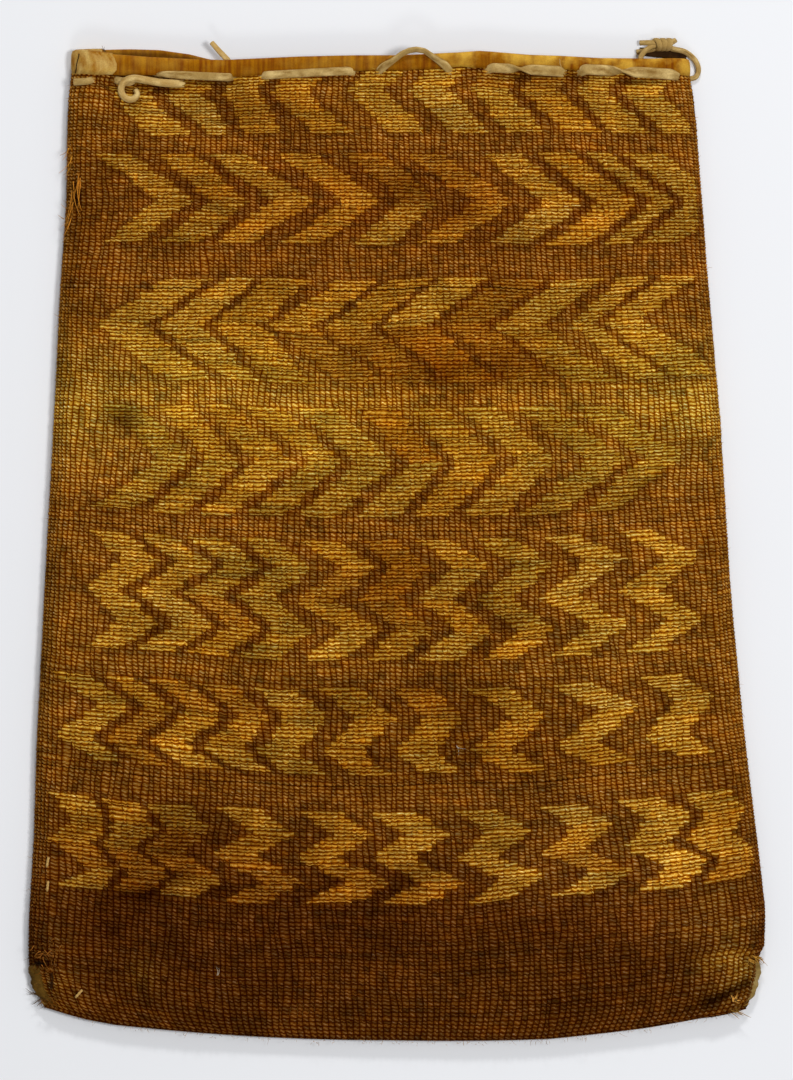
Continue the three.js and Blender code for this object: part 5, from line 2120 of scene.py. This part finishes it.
class Nodes:
    """A short way to lay out a material's nodes."""

    def __init__(self, name: str, roughness: float, gloss: float) -> None:
        """Start a material with its principled shader.

        Args:
            name: the material's name.
            roughness: the shader's roughness.
            gloss: the shader's specular level.
        """
        self.material = bpy.data.materials.new(name)
        self.material.use_nodes = True
        self.tree = self.material.node_tree
        self.shader = self.tree.nodes["Principled BSDF"]
        self.shader.inputs["Roughness"].default_value = roughness
        self.shader.inputs["Specular IOR Level"].default_value = gloss

    def add(self, kind: str, **settings: object) -> bpy.types.Node:
        """Add a node and set its own settings.

        Args:
            kind: the node's type.
            settings: attributes of the node.

        Returns:
            The node.
        """
        node = self.tree.nodes.new(kind)
        for key, value in settings.items():
            setattr(node, key, value)
        return node

    def link(self, source: Socket, target: Socket) -> None:
        """Join two sockets."""
        self.tree.links.new(source, target)

    def feed(self, target: Socket, value: object) -> None:
        """Link a socket to the target, or set the target's value.

        Args:
            target: the socket that is fed.
            value: a socket or a value.
        """
        if isinstance(value, Socket):
            self.link(value, target)
        else:
            target.default_value = value

    def lay(self) -> Socket:
        """Return the piece's own UV map."""
        return self.add("ShaderNodeUVMap", uv_map="lay").outputs["UV"]

    def place(self) -> Socket:
        """Return the place on the object, in metres."""
        return self.add("ShaderNodeTexCoord").outputs["Object"]

    def dye(self) -> Socket:
        """Return the colour that the mesh holds."""
        return self.add("ShaderNodeAttribute", attribute_name="dye").outputs["Color"]

    def part(self, vector: Socket, axis: str) -> Socket:
        """Take one part of a vector.

        Args:
            vector: the vector's socket.
            axis: X, Y or Z.

        Returns:
            The part's socket.
        """
        node = self.add("ShaderNodeSeparateXYZ")
        self.link(vector, node.inputs["Vector"])
        return node.outputs[axis]

    def mapped(self, vector: Socket, scale: Triple, turn: float = 0.0) -> Socket:
        """Turn a vector about Z, then scale it.

        Args:
            vector: the vector's socket.
            scale: factors in X, Y and Z.
            turn: angle in radians.

        Returns:
            The new vector's socket.
        """
        turned = self.add("ShaderNodeMapping")
        turned.inputs["Rotation"].default_value = (0.0, 0.0, turn)
        self.link(vector, turned.inputs["Vector"])
        scaled = self.add("ShaderNodeMapping")
        scaled.inputs["Scale"].default_value = scale
        self.link(turned.outputs["Vector"], scaled.inputs["Vector"])
        return scaled.outputs["Vector"]

    def noise(self, vector: Socket, scale: float, detail: float) -> Socket:
        """Add a noise texture.

        Args:
            vector: the socket of the places.
            scale: how fine the noise is.
            detail: how many finer noises are laid over it.

        Returns:
            The noise's socket.
        """
        node = self.add("ShaderNodeTexNoise")
        node.inputs["Scale"].default_value = scale
        node.inputs["Detail"].default_value = detail
        self.link(vector, node.inputs["Vector"])
        return node.outputs["Fac"]

    def span(self, value: Socket, source: Pair, target: Pair = (0.0, 1.0)) -> Socket:
        """Map a value from one range to another, held at the ends.

        Args:
            value: the value's socket.
            source: its range.
            target: what the range becomes.

        Returns:
            The mapped value's socket.
        """
        node = self.add("ShaderNodeMapRange")
        names = ("From Min", "From Max", "To Min", "To Max")
        for name, number in zip(names, (*source, *target)):
            node.inputs[name].default_value = number
        self.link(value, node.inputs["Value"])
        return node.outputs["Result"]

    def maths(self, operation: str, a: object, b: object) -> Socket:
        """Reckon with two values.

        Args:
            operation: the maths node's operation.
            a: a value or its socket.
            b: a value or its socket.

        Returns:
            The result's socket.
        """
        node = self.add("ShaderNodeMath", operation=operation)
        self.feed(node.inputs[0], a)
        self.feed(node.inputs[1], b)
        return node.outputs["Value"]

    def blend(self, mode: str, share: object, a: object, b: object) -> Socket:
        """Mix two colours.

        Args:
            mode: the mix node's mode.
            share: how much of b.
            a: a colour or its socket.
            b: a colour or its socket.

        Returns:
            The mixed colour's socket.
        """
        node = self.add("ShaderNodeMix", data_type="RGBA", blend_type=mode)
        for number, value in zip(MIX_INPUTS, (share, a, b)):
            self.feed(node.inputs[number], value)
        return node.outputs[MIX_OUTPUT]

    def finish(self, colour: Socket, height: Socket, strength: float, distance: float) -> Material:
        """Give the shader its colour and a bumped normal.

        Args:
            colour: the colour's socket.
            height: the bump's height.
            strength: the bump's strength.
            distance: the bump's distance in metres.

        Returns:
            The finished material.
        """
        self.link(colour, self.shader.inputs["Base Color"])
        bump = self.add("ShaderNodeBump")
        bump.inputs["Strength"].default_value = strength
        bump.inputs["Distance"].default_value = distance
        self.link(height, bump.inputs["Height"])
        self.link(bump.outputs["Normal"], self.shader.inputs["Normal"])
        return self.material


@dataclass(frozen=True)
class TwinedFinish:
    """Twined fibre: each stitch has its own dye, with fine strands along its slant and painted shade with
    some dirt in its grooves.
    """

    slant_turn: float = -0.6
    strands: Triple = (1.1, 5.5, 1.0)
    strand_detail: float = 3.0
    streak_light: Pair = (0.65, 1.27)
    groove_dirt_and_shade: float = 0.12
    painted_shade_powers: Triple = (1.16, 2.0, 4.6)
    fleck_scale: float = 900.0
    fleck_detail: float = 2.0
    fleck_light: Pair = (0.84, 1.16)
    bump: Pair = (0.6, 0.0006)
    roughness: float = 0.9
    gloss: float = 0.0

    def material(self) -> Material:
        """Make the finish from each stitch's dye and share of light, dimmer and redder in the grooves.

        The colour is the dye times (light * streak * fleck)^power, with a power for each of red, green and
        blue, the streak a noise drawn out along the strands and the fleck a fine one. The light and the
        powers are painted shade with some dirt, darker and redder in the grooves.

        Returns:
            The finished material.
        """
        nodes = Nodes("twined_fibre", self.roughness, self.gloss)
        drawn_out = nodes.mapped(nodes.lay(), self.strands, self.slant_turn)
        strands = nodes.noise(drawn_out, 1.0, self.strand_detail)
        streak = nodes.span(strands, NOISE_EDGES, self.streak_light)
        light = nodes.add("ShaderNodeAttribute", attribute_name="light").outputs["Fac"]
        flecks = nodes.noise(nodes.place(), self.fleck_scale, self.fleck_detail)
        fleck = nodes.span(flecks, NOISE_EDGES, self.fleck_light)
        # Painted shade with some dirt: the grooves' share of light, lowered and reddened by the powers.
        shade = nodes.span(light, (0.0, 1.0), (self.groove_dirt_and_shade, 1.0))
        lit = nodes.maths("MULTIPLY", nodes.maths("MULTIPLY", shade, streak), fleck)
        channels = nodes.add("ShaderNodeCombineColor")
        for name, power in zip(("Red", "Green", "Blue"), self.painted_shade_powers):
            nodes.link(nodes.maths("POWER", lit, power), channels.inputs[name])
        coloured = nodes.blend("MULTIPLY", 1.0, nodes.dye(), channels.outputs["Color"])
        return nodes.finish(coloured, strands, *self.bump)


@dataclass(frozen=True)
class FibreFinish:
    """Loose fibre, in the colour that each fibre holds."""

    grain: Pair = (1500.0, 2.0)
    grain_light: Pair = (0.75, 1.2)
    bump: Pair = (0.3, 0.0003)
    roughness: float = 0.85
    gloss: float = 0.02

    def material(self) -> Material:
        """Make the finish from the fibre's dye and a fine noise.

        Returns:
            The finished material.
        """
        nodes = Nodes("loose_fibre", self.roughness, self.gloss)
        grain = nodes.noise(nodes.place(), *self.grain)
        shade = nodes.span(grain, NOISE_EDGES, self.grain_light)
        return nodes.finish(nodes.blend("MULTIPLY", 1.0, nodes.dye(), shade), grain, *self.bump)


@dataclass(frozen=True)
class HideFinish:
    """Hide: two colours in soft streaks across the strip, clouds of a third, a fine grain, a lighter fold,
    and painted shade on its inside face.
    """

    name: str
    light: Numbers
    dark: Numbers
    stain: Numbers
    streaks: Triple = (0.35, 1.2, 1.0)
    stain_most: float = 0.8
    roughness: float = 0.75
    gloss: float = 0.05
    cloud_scale: float = 90.0
    fold_light: float = 1.0
    painted_inside_shade: float = 1.0
    right_clouds: float = 1.0
    streak_detail: float = 4.0
    streak_edges: Pair = (0.35, 0.65)
    cloud_detail: float = 3.0
    cloud_edges: Pair = (0.42, 0.66)
    right_run: Pair = (0.0, 0.04)
    grain: Pair = (1500.0, 4.0)
    grain_light: Pair = (0.85, 1.12)
    fold_run: Pair = (0.1, 0.2)
    inside_run: Pair = (0.27, 0.36)
    bump: Pair = (0.4, 0.0005)

    def material(self) -> Material:
        """Make the finish from streaks on the strip's own UV map and a grain in object space.

        Returns:
            The finished material.
        """
        nodes = Nodes(self.name, self.roughness, self.gloss)
        place, lay = nodes.place(), nodes.lay()
        streaks = nodes.noise(nodes.mapped(lay, self.streaks), 1.0, self.streak_detail)
        streak = nodes.span(streaks, self.streak_edges)
        clouds = nodes.noise(place, self.cloud_scale, self.cloud_detail)
        cloud = nodes.span(clouds, self.cloud_edges, (0.0, self.stain_most))
        side = nodes.span(nodes.part(place, "X"), self.right_run, (1.0, self.right_clouds))
        grain = nodes.noise(place, *self.grain)
        base = nodes.blend("MIX", streak, socket_colour(self.light), socket_colour(self.dark))
        cloud = nodes.maths("MULTIPLY", cloud, side)
        stained = nodes.blend("MIX", cloud, base, socket_colour(self.stain))
        speck = nodes.span(grain, NOISE_EDGES, self.grain_light)
        across = nodes.part(lay, "Y")
        # The strip is made lighter along its fold.
        fold_lightening = nodes.span(across, self.fold_run, (1.0, self.fold_light))
        # Painted shade: the strip's inside face is darker.
        inside = nodes.span(across, self.inside_run, (1.0, self.painted_inside_shade))
        grained = nodes.blend("MULTIPLY", 1.0, stained, nodes.maths("MULTIPLY", speck, fold_lightening))
        return nodes.finish(nodes.blend("MULTIPLY", 1.0, grained, inside), grain, *self.bump)


@dataclass(frozen=True)
class FloorFinish:
    """Pale matt floor."""

    colour: Numbers = (236, 237, 240)
    mottling: Pair = (6.0, 2.0)
    mottle_light: Pair = (0.985, 1.0)
    bump: Pair = (0.02, 0.0005)
    roughness: float = 0.9
    gloss: float = 0.1

    def material(self) -> Material:
        """Make the finish, with the faintest mottling.

        Returns:
            The finished material.
        """
        nodes = Nodes("pale_floor", self.roughness, self.gloss)
        mottle = nodes.noise(nodes.place(), *self.mottling)
        shade = nodes.span(mottle, (0.0, 1.0), self.mottle_light)
        colour = nodes.blend("MULTIPLY", 1.0, socket_colour(self.colour), shade)
        return nodes.finish(colour, mottle, *self.bump)


# The stage


@dataclass(frozen=True)
class Lamp:
    """A round soft lamp."""

    place: Triple
    size: float
    power: float


@dataclass(frozen=True)
class Stage:
    """Floor, soft lamps and the camera straight above."""

    frame_height: float = 648.0
    frame_centre: Pair = (0.3, -1.8)
    camera_height: float = 4200.0
    focus_height: float = 14.0
    sensor: float = 24.0
    floor_reach: float = 3000.0
    lamps: tuple[Lamp, ...] = (
        Lamp((1150.0, 150.0, 3000.0), 700.0, 47.0),
        Lamp((150.0, 2900.0, 2000.0), 500.0, 46.0),
        Lamp((200.0, -2300.0, 2600.0), 900.0, 14.0),
    )
    fill_strength: float = 0.31
    fill_colour: tuple[float, float, float, float] = (0.97, 0.985, 1.0, 1.0)

    def camera(self) -> None:
        """Set the camera above the frame's middle, its lens from the frame's height and the distance."""
        data = bpy.data.cameras.new("camera")
        data.sensor_fit = "VERTICAL"
        data.sensor_height = self.sensor
        data.lens = self.sensor * (self.camera_height - self.focus_height) / self.frame_height
        camera = bpy.data.objects.new("camera", data)
        camera.location = (self.frame_centre[0] * MM, self.frame_centre[1] * MM, self.camera_height * MM)
        bpy.context.scene.collection.objects.link(camera)
        bpy.context.scene.camera = camera

    def light(self) -> None:
        """Set the lamps, each turned to the bag, and an even white surround."""
        for number, lamp in enumerate(self.lamps):
            data = bpy.data.lights.new(f"lamp_{number}", "AREA")
            data.shape = "DISK"
            data.size = lamp.size * MM
            data.energy = lamp.power
            x, y, z = lamp.place
            light = bpy.data.objects.new(data.name, data)
            light.location = (x * MM, y * MM, z * MM)
            light.rotation_euler = (math.atan2(math.hypot(x, y), z), 0.0, math.atan2(y, x) + math.pi / 2)
            bpy.context.scene.collection.objects.link(light)
        world = bpy.data.worlds.new("surround")
        world.use_nodes = True
        background = world.node_tree.nodes["Background"]
        background.inputs["Color"].default_value = self.fill_colour
        background.inputs["Strength"].default_value = self.fill_strength
        bpy.context.scene.world = world

    def floor(self) -> None:
        """Lay the floor under the bag."""
        corners = self.floor_reach * np.array([(-1, -1, 0), (1, -1, 0), (1, 1, 0), (-1, 1, 0)])
        floor = bpy.data.objects.new("floor", Surface(corners, np.array([[0, 1, 2, 3]])).mesh("floor"))
        floor.data.materials.append(FloorFinish().material())
        bpy.context.scene.collection.objects.link(floor)

    def build(self) -> None:
        """Set camera, light and floor."""
        self.camera()
        self.light()
        self.floor()
        bpy.context.scene.view_settings.view_transform = "Standard"


def main() -> None:
    """Build every piece of the bag in order."""
    logging.basicConfig(level=logging.INFO, format="%(name)s %(message)s")
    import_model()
    Stage().build()
    form = BagForm.from_frame()
    section = Section(form)
    binding_hide = HideFinish(
        "ochre_hide", (150, 95, 3), (112, 54, 0), (200, 154, 54), stain_most=0.24, cloud_scale=80.0,
        fold_light=1.25, painted_inside_shade=0.4, right_clouds=3.7,
    ).material()
    lap_hide = HideFinish(
        "pale_hide", (200, 164, 92), (150, 94, 12), (188, 148, 66), (0.2, 7.0, 1.0), stain_most=0.6,
        cloud_scale=160.0,
    ).material()
    thong_hide = HideFinish(
        "buff_thong", (208, 178, 116), (138, 104, 50), (164, 132, 74), THONG_STREAKS
    ).material()
    pale_thong = HideFinish(
        "pale_thong", (218, 188, 124), (156, 118, 58), (186, 150, 88), THONG_STREAKS
    ).material()
    worn_hide = HideFinish("worn_hide", (92, 66, 18), (62, 40, 8), (112, 80, 26)).material()
    pale_worn = HideFinish("pale_worn_hide", (150, 124, 70), (110, 84, 36), (160, 136, 84)).material()
    dark_thread_and_shade = HideFinish("dark_thread_and_shade", (64, 40, 16), (40, 22, 8), (70, 46, 20)).material()
    pale_cord = HideFinish(
        "pale_cord", (206, 170, 104), (160, 120, 60), (190, 152, 88), (1.2, 3.0, 1.0)
    ).material()
    ThongEnds(form).build(pale_thong, thong_hide, dark_thread_and_shade)
    TwinedWall(section).build(TwinedFinish().material())
    RimBinding(section).build(binding_hide, lap_hide, dark_thread_and_shade, pale_cord)
    Lacing(form).build(thong_hide)
    CornerPatch(
        "worn_corner_left", "corner_patch_left", section, section.columns, (-0.9, -0.16)
    ).build(worn_hide)
    CornerPatch(
        "worn_corner_right", "corner_patch_right", section, section.front_columns, (0.36, 0.9)
    ).build(pale_worn)
    ShortStitch("mend_upper", "mending_stitch_upper", 80).build(pale_cord)
    ShortStitch("mend_lower", "mending_stitch_lower", 84).build(pale_cord)
    ShortStitch("mend_corner", "corner_stitch", 48).build(pale_cord)
    FrayedFibres(section).build(FibreFinish().material())


if __name__ == "__main__":
    main()
